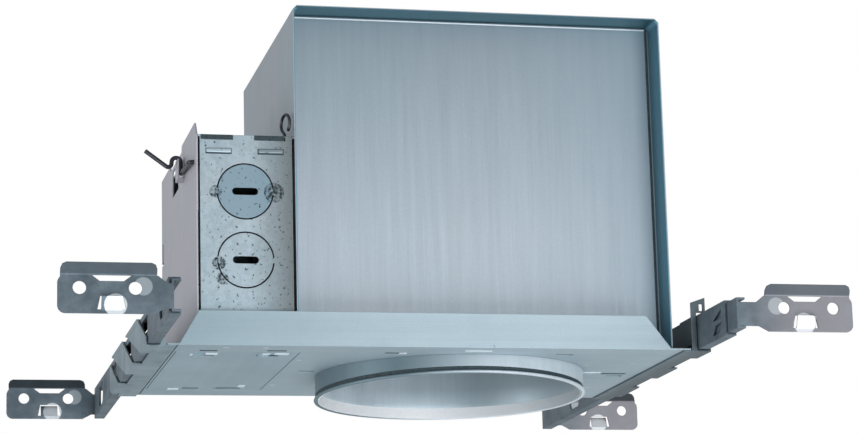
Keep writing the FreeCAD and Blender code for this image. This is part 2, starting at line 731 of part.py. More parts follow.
# Bar guides and hangers
def fingers(side, edge, x0, x1):
    """The slanted fingers of a guide's outer wall, with the strips of the base that carry them."""
    parts = []
    for step in range(3):
        near = f"finger_first + {step} * finger_pitch"
        shape = [(near, "-guide_sheet"), (f"{near} + finger_foot", "-guide_sheet"),
                 (f"{near} + finger_lean + finger_top", "guide_rise"), (f"{near} + finger_lean", "guide_rise")]
        parts.append(prism("YZ", shape, x0, x1))
        parts.append(block(*span(side, edge, f"{GUIDE_OUT} - guide_recess - 0.5", GUIDE_OUT), near,
                           f"{near} + finger_foot", "-guide_sheet", "0"))
        parts.append(block(*span(side, edge, f"{GUIDE_OUT} - guide_sheet - guide_lip", GUIDE_OUT),
                           f"{near} + finger_lean", f"{near} + finger_lean + finger_top", "guide_rise - guide_sheet",
                           "guide_rise"))
    return parts


def bar_guide(side, name):
    """The bracket on one side of the pan that a hanger slides through."""
    edge = "pan_right" if side > 0 else "pan_left"
    base = block(*span(side, edge, "-guide_lap", f"{GUIDE_OUT} - guide_recess"), "-pan_front", "pan_rear",
                 "-guide_sheet", "0")
    inner = span(side, edge, "guide_gap", GUIDE_IN)
    wall_in = block(*inner, "-pan_front", "pan_rear", "-guide_sheet", "guide_inner_rise")
    tab = block(*span(side, edge, "guide_gap - guide_sheet", "guide_gap"), "-tab_front", "-tab_front + tab_length",
                "tab_low", "tab_high")
    near_x = reach(side, edge, f"{GUIDE_OUT} - guide_ear_inset - guide_ear_width")
    far_x = reach(side, edge, f"{GUIDE_OUT} - guide_ear_inset")
    wall_x = reach(side, edge, GUIDE_IN)
    ear = prism("XZ", [(near_x, "0"), (wall_x, "0"), (wall_x, "guide_rise"), (far_x, "guide_rise"),
                       (far_x, "guide_ear_rise"), (near_x, "guide_ear_rise - guide_ear_fall")],
                "-pan_front", "-pan_front + guide_sheet")
    eye = block(*span(side, edge, f"{GUIDE_OUT} - guide_ear_inset - 3.2", f"{GUIDE_OUT} - guide_ear_inset - 1.4"),
                "-pan_front - 1", "-pan_front + guide_sheet + 1", "guide_rise + 0.9", "guide_rise + 4.4")
    walls = span(side, edge, f"{GUIDE_OUT} - guide_sheet", GUIDE_OUT)
    reach_box = block(*span(side, edge, "-guide_lap - 1", f"{GUIDE_OUT} + 1"), "-pan_front", "pan_rear",
                      "-guide_sheet - 1", "guide_ear_rise + 1")
    return node(name, cut(overlap(join(base, wall_in, tab, ear, *fingers(side, edge, *walls)), reach_box), eye))


def web_place(side, sunk):
    """The offset of a bar's web; the web is on the -X side of both hangers, and sunk moves it into the channel."""
    if side > 0:
        return f"guide_gap + guide_sheet + bar_play + {sunk}"
    return f"{GUIDE_OUT} - guide_sheet - bar_play - bar_sheet - {sunk}"


def channel(side, edge, web, depth, low, high, y0, y1):
    """A C-shaped bar: a web with two lips that point in +X."""
    lips = (web, f"{web} + {depth}") if side > 0 else (f"{web} + bar_sheet - ({depth})", f"{web} + bar_sheet")
    return join(
        block(*span(side, edge, web, f"{web} + bar_sheet"), y0, y1, low, high),
        block(*span(side, edge, *lips), y0, y1, low, f"{low} + bar_sheet"),
        block(*span(side, edge, *lips), y0, y1, f"{high} - bar_sheet", high))


def bar_windows(side, edge, web, shift):
    """Round-bottomed openings along a bar's web, as cutters."""
    tools = []
    low, high = span(side, edge, f"{web} - 1", f"{web} + bar_sheet + 1")
    bottom = "(bar_play + bar_height / 2 - bar_window_height / 2)"
    top = "(bar_play + bar_height / 2 + bar_window_height / 2)"
    for step in range(5):
        y = f"(bar_window_first + {shift} + {step} * bar_window_pitch)"
        half = "bar_window_length / 2"
        tools.append(block(low, high, f"{y} - {half}", f"{y} + {half}", f"{bottom} + bar_window_round", top))
        tools.append(block(low, high, f"{y} - {half} + bar_window_round", f"{y} + {half} - bar_window_round", bottom,
                           top))
        for sign in ("-", "+"):
            tools.append(rod("X", "bar_window_round", "bar_sheet + 2", low,
                             f"{y} {sign} ({half} - bar_window_round)", f"{bottom} + bar_window_round"))
    return tools


def foot(side, edge, web, y_face, outward):
    """A foot that turns out from a bar's end: neck, nailing plate, leaning lip and bent tab."""
    y0, y1 = (y_face, f"{y_face} + bar_sheet") if outward < 0 else (f"{y_face} - bar_sheet", y_face)
    reach_name = "right_foot_reach" if side > 0 else "left_foot_reach"
    end = f"{GUIDE_OUT} + {reach_name}"
    start = f"{end} - foot_plate"
    shape = [(reach(side, edge, out), z) for out, z in (
        (web, "foot_neck_low"), (f"{start} - 3", "foot_neck_low"), (f"{start} + 2", "0"), (end, "0"),
        (end, "foot_height"), (start, "foot_height"), (f"{start} - 4", "foot_neck_high"), (web, "foot_neck_high"))]
    along = FreeCAD.Vector(0, 1, 0)
    tip = val(reach(side, edge, end))
    plate = soften(prism("XZ", shape, y0, y1), "foot_corner", along, lambda point: abs(point.x - tip) < 0.1)
    face = y0 if outward < 0 else y1
    back = y1 if outward < 0 else y0
    lean = "foot_lip_lean" if outward > 0 else "-foot_lip_lean"
    lip_box = prism("YZ", [(face, "foot_height - foot_corner"), (back, "foot_height - foot_corner"),
                           (back, "foot_height"), (f"{back} + {lean}", "foot_height + foot_lip"),
                           (f"{face} + {lean}", "foot_height + foot_lip"), (face, "foot_height")],
                    *span(side, edge, f"{start} + 0.5", f"{end} - 1.2"))
    lip_low, lip_high = span(side, edge, f"{start} + 0.5", f"{end} - 1.2")
    lip_top = "foot_height + foot_lip"
    facet = "0.3 * foot_lip_corner"
    lip = overlap(lip_box, prism("XZ", [
        (lip_low, "foot_height - foot_corner"), (lip_high, "foot_height - foot_corner"),
        (lip_high, f"{lip_top} - foot_lip_corner"), (f"{lip_high} - {facet}", f"{lip_top} - {facet}"),
        (f"{lip_high} - foot_lip_corner", lip_top), (f"{lip_low} + foot_lip_corner", lip_top),
        (f"{lip_low} + {facet}", f"{lip_top} - {facet}"), (lip_low, f"{lip_top} - foot_lip_corner")],
        f"{y0} - 4", f"{y1} + 4"))
    centre = f"{end} - foot_middle"
    slot_top, slot_low = "foot_height", "foot_height - foot_slot_height"
    slot = prism("XZ", [(reach(side, edge, f"{centre} - foot_slot_wide / 2"), slot_top),
                        (reach(side, edge, f"{centre} - foot_slot_narrow / 2"), slot_low),
                        (reach(side, edge, f"{centre} + foot_slot_narrow / 2"), slot_low),
                        (reach(side, edge, f"{centre} + foot_slot_wide / 2"), slot_top)],
                 f"{y0} - 0.5", f"{y1} + 0.5")
    tab_top = "foot_tab_low + foot_tab_height"
    mouth = [(reach(side, edge, f"{centre} - foot_tab_wide / 2"), "foot_tab_low"),
             (reach(side, edge, f"{centre} - foot_tab_narrow / 2"), tab_top),
             (reach(side, edge, f"{centre} + foot_tab_narrow / 2"), tab_top),
             (reach(side, edge, f"{centre} + foot_tab_wide / 2"), "foot_tab_low")]
    nails = [rod("Y", "nail_radius", "bar_sheet + 2", reach(side, edge, f"{end} - nail_outer - {step} * nail_pitch"),
                 f"{y0} - 1", "nail_rise") for step in range(2)]
    tab_lean = "foot_tab_lean" if outward > 0 else "-foot_tab_lean"
    tab = prism("YZ", [(face, "foot_tab_low - 0.4"), (back, "foot_tab_low - 0.4"),
                       (f"{back} + {tab_lean}", f"{tab_top} - foot_tab_slit"),
                       (f"{face} + {tab_lean}", f"{tab_top} - foot_tab_slit")],
                *span(side, edge, f"{centre} - foot_tab_narrow / 2 + foot_tab_slit",
                      f"{centre} + foot_tab_narrow / 2 - foot_tab_slit"))
    return join(cut(join(plate, lip), slot, prism("XZ", mouth, f"{y0} - 3", f"{y1} + 3"), *nails), tab)


def hanger(side, name, near, drawn):
    """The two telescoping bars of one side: the outer with the rear foot, the inner with the front foot."""
    edge = "pan_right" if side > 0 else "pan_left"
    web = web_place(side, "0")
    start = f"-{near} + {drawn} + bar_sheet + 1.5"
    finish = f"-{near} + {drawn} + bar_length"
    outer = channel(side, edge, web, "bar_depth", BAR_LOW, BAR_HIGH, start, finish)
    windows = bar_windows(side, edge, web, "0")
    middle = "bar_play + bar_height / 2"
    low, high = span(side, edge, f"{web} - 1", f"{web} + bar_sheet + 1")
    tip = f"{start} + 6"
    if side > 0:
        del windows[:4]
        windows.append(prism("YZ", [(tip, f"{middle} + 5.6"), (tip, f"{middle} + 1"), (f"{tip} + 13", f"{middle} + 1")],
                             low, high))
        windows.append(prism("YZ", [(tip, f"{middle} - 1"), (tip, f"{middle} - 3.4"),
                                    (f"{tip} + 3", f"{middle} - 6"), (f"{tip} + 13", f"{middle} - 6"),
                                    (f"{tip} + 9", f"{middle} - 1.6")], low, high))
    node(f"{name}_outer_bar", join(cut(outer, *windows), foot(side, edge, web, finish, 1)))
    sunk = "bar_sheet + bar_fit"
    web = web_place(side, f"({sunk})")
    inner_low, inner_high = f"bar_play + {sunk}", f"bar_play + bar_height - ({sunk})"
    inner = channel(side, edge, web, INNER_DEPTH, inner_low, inner_high, f"-{near}",
                    f"-{near} + bar_length - bar_sheet - 6")
    inner_windows = bar_windows(side, edge, web, "bar_window_shift")
    node(f"{name}_inner_bar", join(cut(inner, *inner_windows[4:]), foot(side, edge, web, f"-{near}", -1)))


# Inside the box
def socket_strap():
    """The slotted strap on the rear panel that the lampholder's plate is clamped to."""
    strap = block("-strap_width / 2", "strap_width / 2", STRAP_FRONT, "box_rear - rear_recess", "strap_low",
                  "box_top - 2 * box_sheet - 1")
    return strap


def lampholder_parts():
    """The strap, the adjustable plate, the lampholder and the clamp that holds the height."""
    seat = f"{REAR_FACE} - box_sheet"
    strap_front = f"{seat} - strap_sheet"
    strap = block("-strap_width / 2", "strap_width / 2", strap_front, seat, "strap_low",
                  "box_top - 2 * box_sheet - 1")
    slot = block("-clamp_screw_radius - clamp_screw_play", "clamp_screw_radius + clamp_screw_play",
                 f"{strap_front} - 1", f"{seat} + 1", "strap_slot_low", "strap_slot_high")
    ledge_top = block("-strap_width / 2", "strap_width / 2", f"{seat} - 9", seat, "strap_low", "strap_low + strap_sheet")
    node("socket_strap", cut(join(strap, ledge_top), slot))
    plate_back = f"{strap_front} - wire_play"
    plate_low = "socket_plate_rise"
    plate = block("-socket_plate_half", "socket_plate_half", "-socket_plate_front", plate_back, plate_low,
                  f"{plate_low} + strap_sheet")
    flange = block("-strap_width / 2", "strap_width / 2", f"{plate_back} - strap_sheet", plate_back,
                   f"{plate_low} - socket_flange", f"{plate_low} + strap_sheet")
    clamp_z = f"({plate_low} - socket_flange / 2)"
    screw_hole = rod("Y", "clamp_screw_radius + rivet_play", "strap_sheet + 2", "0", f"{plate_back} - strap_sheet - 1",
                     clamp_z)
    wire_hole = rod("Z", "3.2", "strap_sheet + 2", "0", "30", f"{plate_low} - 1")
    node("socket_plate", cut(join(plate, flange), screw_hole, wire_hole))
    section = [
        ("0", HOLDER_LOW + " + shell_depth + 4"),
        ("holder_radius - holder_wall", HOLDER_LOW + " + shell_depth + 4"),
        ("holder_radius - holder_wall", HOLDER_LOW),
        ("holder_radius - 0.8", HOLDER_LOW),
        ("holder_radius", HOLDER_LOW + " + 0.8"),
        ("holder_radius", HOLDER_LOW + " + shell_depth"),
        ("holder_radius - 3", HOLDER_LOW + " + shell_depth + 5"),
        ("holder_radius - 3", plate_low),
        ("0", plate_low),
    ]
    node("lampholder", turned(section))
    shell_out = "shell_radius + shell_sheet"
    shell_top = HOLDER_LOW + " + shell_depth + 1"
    shell = turned([("shell_radius", HOLDER_LOW + " + 2"), (shell_out, HOLDER_LOW + " + 2"),
                    (shell_out, shell_top), ("4", shell_top), ("4", f"{shell_top} - shell_sheet"),
                    ("shell_radius", f"{shell_top} - shell_sheet")])
    node("screw_shell", shell)
    contact_top = HOLDER_LOW + " + shell_depth + 4"
    contact = turned([("0", f"{contact_top} - 3.6"), ("1.6", f"{contact_top} - 3.6"), ("2.8", f"{contact_top} - 2"),
                      ("2.8", contact_top), ("0", contact_top)])
    node("centre_contact", contact)
    head_front = f"{plate_back} - strap_sheet"
    nut = [rod("Y", "clamp_screw_radius + 2.4", "4", "0", f"{head_front} - 4", clamp_z)]
    for sign in (1, -1):
        wing = [(f"{sign * 2}", f"{clamp_z} - 1.6"), (f"{sign * 9}", f"{clamp_z} + 2.5"),
                (f"{sign * 11}", f"{clamp_z} + 6.5"), (f"{sign * 8}", f"{clamp_z} + 7.4"),
                (f"{sign * 2}", f"{clamp_z} + 3.2")]
        nut.append(prism("XZ", wing, f"{head_front} - 3", f"{head_front} - 1.6"))
    bore = rod("Y", "clamp_screw_radius + rivet_play", "8", "0", f"{head_front} - 6", clamp_z)
    node("wing_nut", cut(join(*nut), bore))
    screw = join(rod("Y", "clamp_screw_radius", f"({seat}) - ({head_front}) + 6.5", "0", f"{head_front} - 6.5", clamp_z))
    node("clamp_screw", screw)


def thermal_protector():
    """The heat cut-out in its spring clip under the box's top."""
    top = "box_top - box_sheet"
    low = f"{top} - 1.2 - protector_height"
    case = block("protector_place - protector_width / 2", "protector_place + protector_width / 2",
                 "-protector_length / 2", "protector_length / 2", low, f"{top} - 1.2")
    along = FreeCAD.Vector(0, 1, 0)
    node("thermal_protector", soften(case, "protector_width / 6", along, lambda point: True))
    out_low, out_high = "protector_place - protector_width / 2", "protector_place + protector_width / 2"
    clip = join(
        block(f"{out_low} - 6", f"{out_high} + 6", "-6", "6", f"{top} - 1", top),
        block(f"{out_low} - 1.1", f"{out_low} - 0.1", "-6", "6", f"{top} - 10", top),
        block(f"{out_high} + 0.1", f"{out_high} + 1.1", "-6", "6", f"{top} - 10", top))
    node("protector_clip", clip)


def wire_bushing():
    """The snap-in bushing that lines the wire passage between the wiring box and the box."""
    inside = f"{BOX_IN_LEFT}"
    body = join(
        rod("X", "bushing_radius", "box_sheet", BOX_LEFT, "bushing_place", "bushing_rise"),
        rod("X", "bushing_radius + bushing_lip", "1.6", inside, "bushing_place", "bushing_rise"),
        rod("X", "bushing_radius + bushing_lip / 2", "1.4", f"{BOX_LEFT} - 1.4", "bushing_place", "bushing_rise"))
    bore = rod("X", "bushing_radius - bushing_wall", "12", f"{BOX_LEFT} - 5", "bushing_place", "bushing_rise")
    node("wire_bushing", cut(body, bore))


# Fasteners
def rivets(name, places, grip):
    """Round-headed rivets whose shanks fill the sheets from the pan's underside up."""
    made_rivets = []
    for x, y in places:
        made_rivets.append(join(rod("Z", "rivet_radius", grip, x, y, "0"),
                                rod("Z", "rivet_head", "rivet_head_height", x, y, grip)))
    node(name, group(*made_rivets))


def ground_screw():
    """The green bonding screw in the rear of the wiring box."""
    wall = "wiring_rear - wiring_sheet"
    head = rod("Y", "ground_head_radius", "ground_head_height", KNOCKOUT_X, f"{wall} - ground_head_height",
               "knockout_low")
    shank = rod("Y", "ground_screw_radius", "wiring_sheet + 4", KNOCKOUT_X, wall, "knockout_low")
    slot = block(f"{KNOCKOUT_X} - ground_head_radius - 1", f"{KNOCKOUT_X} + ground_head_radius + 1",
                 f"{wall} - ground_head_height - 1", f"{wall} - ground_head_height + 1.2", "knockout_low - 0.6",
                 "knockout_low + 0.6")
    node("ground_screw", cut(join(head, shank), slot))


mounting_pan()
access_plate()
aperture_collar()
trim_ring()
box_wrapper()
box_panel("front_panel", PANEL_FACE, 1)
box_panel("rear_panel", REAR_FACE, -1)
wiring_box()
side_cover()
latch_wire()
wire_loop()
bar_guide(-1, "left_bar_guide")
bar_guide(1, "right_bar_guide")
hanger(-1, "left", "left_bar_near", "0")
hanger(1, "right", "right_bar_near", "right_bar_drawn")
lampholder_parts()
thermal_protector()
wire_bushing()
rivets("box_rivets", BOX_RIVETS, "pan_sheet + box_sheet")
rivets("collar_rivets", COLLAR_RIVETS, COLLAR_SEAT)
rivets("wiring_rivets", WIRING_RIVETS, "pan_sheet + wiring_sheet")
ground_screw()

doc.recompute()
faults = [f"{obj.Label}: {obj.State}" for obj in doc.Objects if "Invalid" in obj.State or "Error" in obj.State]
faults += [f"{obj.Label}: no valid shape" for obj in nodes if obj.Shape.isNull() or not obj.Shape.isValid()]
if faults:
    raise SystemExit("\n".join(faults))

os.makedirs("parts", exist_ok=True)
for obj in nodes:
    obj.Shape.exportStep(f"parts/{obj.Label}.step")
    print(f"{obj.Label}: {len(obj.Shape.Solids)} solid(s), {obj.Shape.Volume:.0f} mm3")
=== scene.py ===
"""Studio picture of a recessed light housing: a galvanised box, its wiring box and its bar hangers.

Metres, +Z up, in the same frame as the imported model. The origin is on the collar's axis in the plane
of the mounting pan's underside, and the knockouts are on the -Y side.
"""
import logging
import math
from dataclasses import dataclass
from enum import Enum

import bpy
from mathutils import Matrix, Vector


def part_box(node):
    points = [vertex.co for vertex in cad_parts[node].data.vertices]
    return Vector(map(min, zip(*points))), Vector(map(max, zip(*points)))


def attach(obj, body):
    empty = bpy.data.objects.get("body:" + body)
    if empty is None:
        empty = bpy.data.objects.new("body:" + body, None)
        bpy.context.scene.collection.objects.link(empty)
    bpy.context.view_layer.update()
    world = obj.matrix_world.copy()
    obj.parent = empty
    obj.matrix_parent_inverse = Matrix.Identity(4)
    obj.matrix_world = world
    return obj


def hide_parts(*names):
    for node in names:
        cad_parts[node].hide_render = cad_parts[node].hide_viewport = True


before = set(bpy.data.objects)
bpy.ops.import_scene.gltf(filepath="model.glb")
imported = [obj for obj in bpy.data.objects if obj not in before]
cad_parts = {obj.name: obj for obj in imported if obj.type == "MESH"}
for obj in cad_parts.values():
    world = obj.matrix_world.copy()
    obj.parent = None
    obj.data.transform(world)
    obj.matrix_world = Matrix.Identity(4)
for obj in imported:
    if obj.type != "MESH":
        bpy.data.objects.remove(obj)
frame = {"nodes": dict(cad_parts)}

LOG = logging.getLogger("recessed_light_housing")
MM = 0.001
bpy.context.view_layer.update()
# Half the box's width inside, up to the middle of its sheet, in millimetres
BOX_INNER_HALF = 94.6
# The middle of the top sheet: inner faces lie below it
BOX_INNER_TOP = 171.6
# Just under the top sheet: only the side walls lie below it
BOX_INNER_LOW = 170.6
# Patches that break up a ragged spot, in millimetres, and the noise values over which they fade in
RAGGED_PATCH = 1.7
RAGGED_FADE = (0.38, 0.6)
# The noise values over which a pit fades in
PIT_FADE = (0.635, 0.68)
# A circle's soft edge in millimetres
DISC_EDGE = 0.5
# The AO values over which the painted corner shade fades out of a corner
CORNER_SHADE_FADE = (0.25, 0.8)


class Axis(Enum):
    """The direction that rolling or brushing lines run in."""

    X = 0
    Y = 1
    Z = 2


def linear(hex_colour: str, alpha: float = 1.0) -> tuple[float, float, float, float]:
    """Turn an sRGB hex colour into linear values.

    Args:
        hex_colour: six hex digits, with or without a leading hash sign.
        alpha: the fourth value.

    Returns:
        Red, green, blue and alpha for a shader socket.
    """
    digits = hex_colour.lstrip("#")
    values = []
    for start in (0, 2, 4):
        share = int(digits[start:start + 2], 16) / 255.0
        values.append(share / 12.92 if share <= 0.04045 else ((share + 0.055) / 1.055) ** 2.4)
    return values[0], values[1], values[2], alpha


@dataclass(frozen=True)
class Shade:
    """A slow change of colour along one axis of the sheet, several of them painted shade or painted reflection; places
    are real millimetres.
    """

    axis: Axis
    start: float
    end: float
    colour: str
    share: float


@dataclass(frozen=True)
class Spot:
    """A round place on a front face with a colour of its own, the sheet's own mark or a painted highlight; places are
    real millimetres.
    """

    across: float
    height: float
    radius: float
    colour: str
    share: float
    ragged: bool = False


@dataclass(frozen=True)
class SteelFinish:
    """How one galvanised or bare steel sheet looks; lengths are real millimetres."""

    name: str
    base: str
    cloud: str
    # The stain colour also paints the shade in the corners
    stain_and_shade: str
    lines: Axis
    line_length: float = 160.0
    line_width: float = 0.9
    line_depth: float = 0.10
    cloud_size: float = 60.0
    cloud_share: float = 0.6
    spangle_size: float = 3.0
    spangle_depth: float = 0.0
    stain_size: float = 14.0
    stain_share: float = 0.10
    metallic: float = 0.75
    roughness: float = 0.46
    roughness_spread: float = 0.08
    edge: float = 0.35
    bump: float = 0.05
    # The next two: how dark the painted shade in the corners is, and how far from them it reaches
    corner_shade: float = 0.5
    corner_shade_reach: float = 5.0
    pits: float = 0.0
    pit_size: float = 2.4
    # Painted reflection on the box's inner faces: the first for the top sheet's underside, the second, lighter, for
    # the walls
    inside: str = ""
    inside_wall: str = ""
    shades: tuple["Shade", ...] = ()
    spots: tuple["Spot", ...] = ()


@dataclass(frozen=True)
class PlainFinish:
    """A finish for small non-steel pieces."""

    name: str
    base: str
    mottle: str
    metallic: float = 0.0
    roughness: float = 0.4
    grain: float = 1.5
    grain_depth: float = 0.1
    coat: float = 0.0
    edge: float = 0.3


class Shader:
    """A small builder for one node material."""

    def __init__(self, name: str) -> None:
        """Start an empty node tree.

        Args:
            name: the material's name.
        """
        self.material = bpy.data.materials.new(name)
        self.material.use_nodes = True
        self.tree = self.material.node_tree
        self.tree.nodes.clear()
        self.output = self.add("ShaderNodeOutputMaterial")
        self.coordinates = self.add("ShaderNodeTexCoord")

    def add(self, kind: str, links: dict | None = None, values: dict | None = None,
            **settings: object) -> bpy.types.Node:
        """Add one node.

        Args:
            kind: the node's type.
            links: input name or index to the output socket that feeds it.
            values: input name or index to a constant.
            settings: attributes of the node itself.

        Returns:
            The new node.
        """
        node = self.tree.nodes.new(kind)
        for key, value in settings.items():
            setattr(node, key, value)
        for key, value in (values or {}).items():
            node.inputs[key].default_value = value
        for key, socket in (links or {}).items():
            self.tree.links.new(socket, node.inputs[key])
        return node

    def scaled(self, sizes_mm: tuple[float, float, float]) -> bpy.types.NodeSocket:
        """Object coordinates divided by a real size along each axis.

        Args:
            sizes_mm: the pattern's repeat along X, Y and Z in millimetres.

        Returns:
            The vector socket.
        """
        scale = tuple(1.0 / (size * MM) for size in sizes_mm)
        node = self.add("ShaderNodeMapping", {"Vector": self.coordinates.outputs["Object"]}, {"Scale": scale})
        return node.outputs["Vector"]

    def noise(self, sizes_mm: tuple[float, float, float], detail: float = 3.0, rough: float = 0.55,
              shift: float = 0.0) -> bpy.types.NodeSocket:
        """Soft noise between 0 and 1.

        Args:
            sizes_mm: the size of a patch along each axis.
            detail: how many finer layers are added.
            rough: how strong those layers are.
            shift: an offset that makes another pattern of the same kind.

        Returns:
            The value socket.
        """
        vector = self.scaled(sizes_mm)
        if shift:
            vector = self.add("ShaderNodeVectorMath", {0: vector}, {1: (shift, shift * 0.7, shift * 1.3)},
                              operation="ADD").outputs[0]
        node = self.add("ShaderNodeTexNoise", {"Vector": vector}, {"Scale": 1.0, "Detail": detail, "Roughness": rough})
        return node.outputs["Fac"]

    def ramp(self, value: bpy.types.NodeSocket, low: float, high: float, to_low: float = 0.0,
             to_high: float = 1.0) -> bpy.types.NodeSocket:
        """Stretch a value from one range to another, clamped.

        Args:
            value: the socket to read.
            low: the input that gives to_low.
            high: the input that gives to_high.
            to_low: the output at low.
            to_high: the output at high.

        Returns:
            The value socket.
        """
        node = self.add("ShaderNodeMapRange", {"Value": value}, {"From Min": low, "From Max": high, "To Min": to_low,
                                                                 "To Max": to_high})
        return node.outputs["Result"]

    def mix(self, share: bpy.types.NodeSocket | float, first: bpy.types.NodeSocket | tuple,
            second: bpy.types.NodeSocket | tuple, blend: str = "MIX") -> bpy.types.NodeSocket:
        """Mix two colours.

        Args:
            share: how much of the second shows.
            first: a colour or a colour socket.
            second: a colour or a colour socket.
            blend: the blend mode.

        Returns:
            The colour socket.
        """
        node = self.add("ShaderNodeMix", data_type="RGBA", blend_type=blend)
        for index, item in ((0, share), (6, first), (7, second)):
            if isinstance(item, bpy.types.NodeSocket):
                self.tree.links.new(item, node.inputs[index])
            else:
                node.inputs[index].default_value = item
        return node.outputs[2]

    def maths(self, operation: str, *items: bpy.types.NodeSocket | float) -> bpy.types.NodeSocket:
        """One maths step on numbers or sockets.

        Args:
            operation: the maths node's operation.
            items: the numbers or sockets.

        Returns:
            The value socket.
        """
        node = self.add("ShaderNodeMath", operation=operation)
        for index, item in enumerate(items):
            if isinstance(item, bpy.types.NodeSocket):
                self.tree.links.new(item, node.inputs[index])
            else:
                node.inputs[index].default_value = item
        return node.outputs[0]

    def grey(self, value: bpy.types.NodeSocket, depth: float) -> bpy.types.NodeSocket:
        """A multiplier around 1 from a value around one half.

        Args:
            value: the socket to read.
            depth: how far the multiplier swings each way.

        Returns:
            The value socket, used as a grey colour.
        """
        return self.ramp(value, 0.25, 0.75, 1.0 - depth, 1.0 + depth)

    def place(self, axis: Axis) -> bpy.types.NodeSocket:
        """One coordinate of the surface in the model's frame, in metres."""
        parts = self.add("ShaderNodeSeparateXYZ", {"Vector": self.coordinates.outputs["Object"]})
        return parts.outputs[axis.value]

    def disc(self, across: float, height: float, radius: float) -> bpy.types.NodeSocket:
        """1 within a circle on an X-Z face, 0 outside it.

        Args:
            across: the centre's X in millimetres.
            height: the centre's Z in millimetres.
            radius: the circle's radius in millimetres.

        Returns:
            The value socket.
        """
        side = self.maths("SUBTRACT", self.place(Axis.X), across * MM)
        rise = self.maths("SUBTRACT", self.place(Axis.Z), height * MM)
        square = self.maths("ADD", self.maths("MULTIPLY", side, side), self.maths("MULTIPLY", rise, rise))
        return self.ramp(self.maths("SQRT", square), radius * MM, (radius - DISC_EDGE) * MM)

    def inner(self) -> bpy.types.NodeSocket:
        """1 on the inner faces of the box's sheet, 0 on the outer ones."""
        side = self.maths("LESS_THAN", self.maths("ABSOLUTE", self.place(Axis.X)), BOX_INNER_HALF * MM)
        rise = self.maths("LESS_THAN", self.place(Axis.Z), BOX_INNER_TOP * MM)
        return self.maths("MULTIPLY", side, rise)

    def finish(self, surface: bpy.types.NodeSocket) -> bpy.types.Material:
        """Connect the surface and return the material."""
        self.tree.links.new(surface, self.output.inputs["Surface"])
        return self.material


def steel(finish: SteelFinish) -> bpy.types.Material:
    """Build a galvanised sheet: rolling lines, clouds, spangle, stains and pits, gradients and spots (some of them
    painted shade, reflection or highlight), painted reflection inside the box, and painted shade in the corners.

    Args:
        finish: the look to build.

    Returns:
        The material.
    """
    shader = Shader(finish.name)
    across = [finish.line_width] * 3
    across[finish.lines.value] = finish.line_length
    wide = [6.0 * finish.line_width] * 3
    wide[finish.lines.value] = 1.6 * finish.line_length
    fine_lines = shader.noise(tuple(across), 4.0, 0.6)
    wide_lines = shader.noise(tuple(wide), 2.0, 0.5, 3.7)
    cloud = shader.noise((finish.cloud_size,) * 3, 3.0, 0.6, 1.9)
    speck = shader.noise((1.1, 1.1, 1.1), 3.0, 0.7, 5.3)
    cells = shader.add("ShaderNodeTexVoronoi", {"Vector": shader.scaled((finish.spangle_size,) * 3)},
                       {"Scale": 1.0, "Randomness": 1.0})
    flake = shader.add("ShaderNodeSeparateColor", {"Color": cells.outputs["Color"]}).outputs[0]
    blot = shader.noise((finish.stain_size,) * 3, 5.0, 0.68, 8.1)
    colour = shader.mix(shader.ramp(cloud, 0.38, 0.64, 0.0, finish.cloud_share), linear(finish.base),
                        linear(finish.cloud))
    for value, depth in ((fine_lines, finish.line_depth), (wide_lines, 0.7 * finish.line_depth),
                         (flake, finish.spangle_depth), (speck, 0.05)):
        colour = shader.mix(1.0, colour, shader.grey(value, depth), "MULTIPLY")
    colour = shader.mix(shader.ramp(blot, 0.56, 0.74, 0.0, finish.stain_share * 4.0), colour, linear(finish.stain_and_shade))
    # Gradients along an axis: some are the sheet's tone, several are painted shade or painted reflection
    for shade in finish.shades:
        place = shader.place(shade.axis)
        colour = shader.mix(shader.ramp(place, shade.start * MM, shade.end * MM, 0.0, shade.share), colour,
                            linear(shade.colour))
    # Spots: the sheet's own marks, or painted highlights
    for spot in finish.spots:
        reach = shader.disc(spot.across, spot.height, spot.radius)
        if spot.ragged:
            patches = shader.noise((RAGGED_PATCH,) * 3, 4.0, 0.6, 4.4)
            reach = shader.maths("MULTIPLY", reach, shader.ramp(patches, *RAGGED_FADE))
        colour = shader.mix(shader.maths("MULTIPLY", reach, spot.share), colour, linear(spot.colour))
    if finish.pits:
        pit = shader.noise((finish.pit_size,) * 3, 2.0, 0.5, 12.7)
        colour = shader.mix(shader.ramp(pit, *PIT_FADE, 0.0, finish.pits), colour, linear(finish.stain_and_shade))
    # Painted reflection on the box's inner faces, darker under the top sheet as painted shade
    if finish.inside:
        under_top = shader.maths("LESS_THAN", shader.place(Axis.Z), BOX_INNER_LOW * MM)
        tone = shader.mix(under_top, linear(finish.inside), linear(finish.inside_wall))
        colour = shader.mix(shader.inner(), colour, tone)
    # Painted shade: ambient occlusion darkens the corners towards the stain colour
    corner = shader.add("ShaderNodeAmbientOcclusion", values={"Distance": finish.corner_shade_reach * MM}, samples=6)
    painted_corner_shade = shader.ramp(corner.outputs["AO"], *CORNER_SHADE_FADE, finish.corner_shade, 0.0)
    colour = shader.mix(painted_corner_shade, colour, linear(finish.stain_and_shade))
    relief = fine_lines
    if finish.spangle_depth:
        relief = shader.maths("ADD", shader.maths("MULTIPLY", fine_lines, 0.6), shader.maths("MULTIPLY", flake, 0.4))
    rough = shader.ramp(relief, 0.25, 0.75, finish.roughness - finish.roughness_spread,
                        finish.roughness + finish.roughness_spread)
    rounded = shader.add("ShaderNodeBevel", values={"Radius": finish.edge * MM}, samples=4)
    bump = shader.add("ShaderNodeBump", {"Height": relief, "Normal": rounded.outputs["Normal"]},
                      {"Strength": finish.bump, "Distance": 0.2 * MM})
    surface = shader.add("ShaderNodeBsdfPrincipled", {"Base Color": colour, "Roughness": rough,
                                                      "Normal": bump.outputs["Normal"]},
                         {"Metallic": finish.metallic})
    return shader.finish(surface.outputs[0])


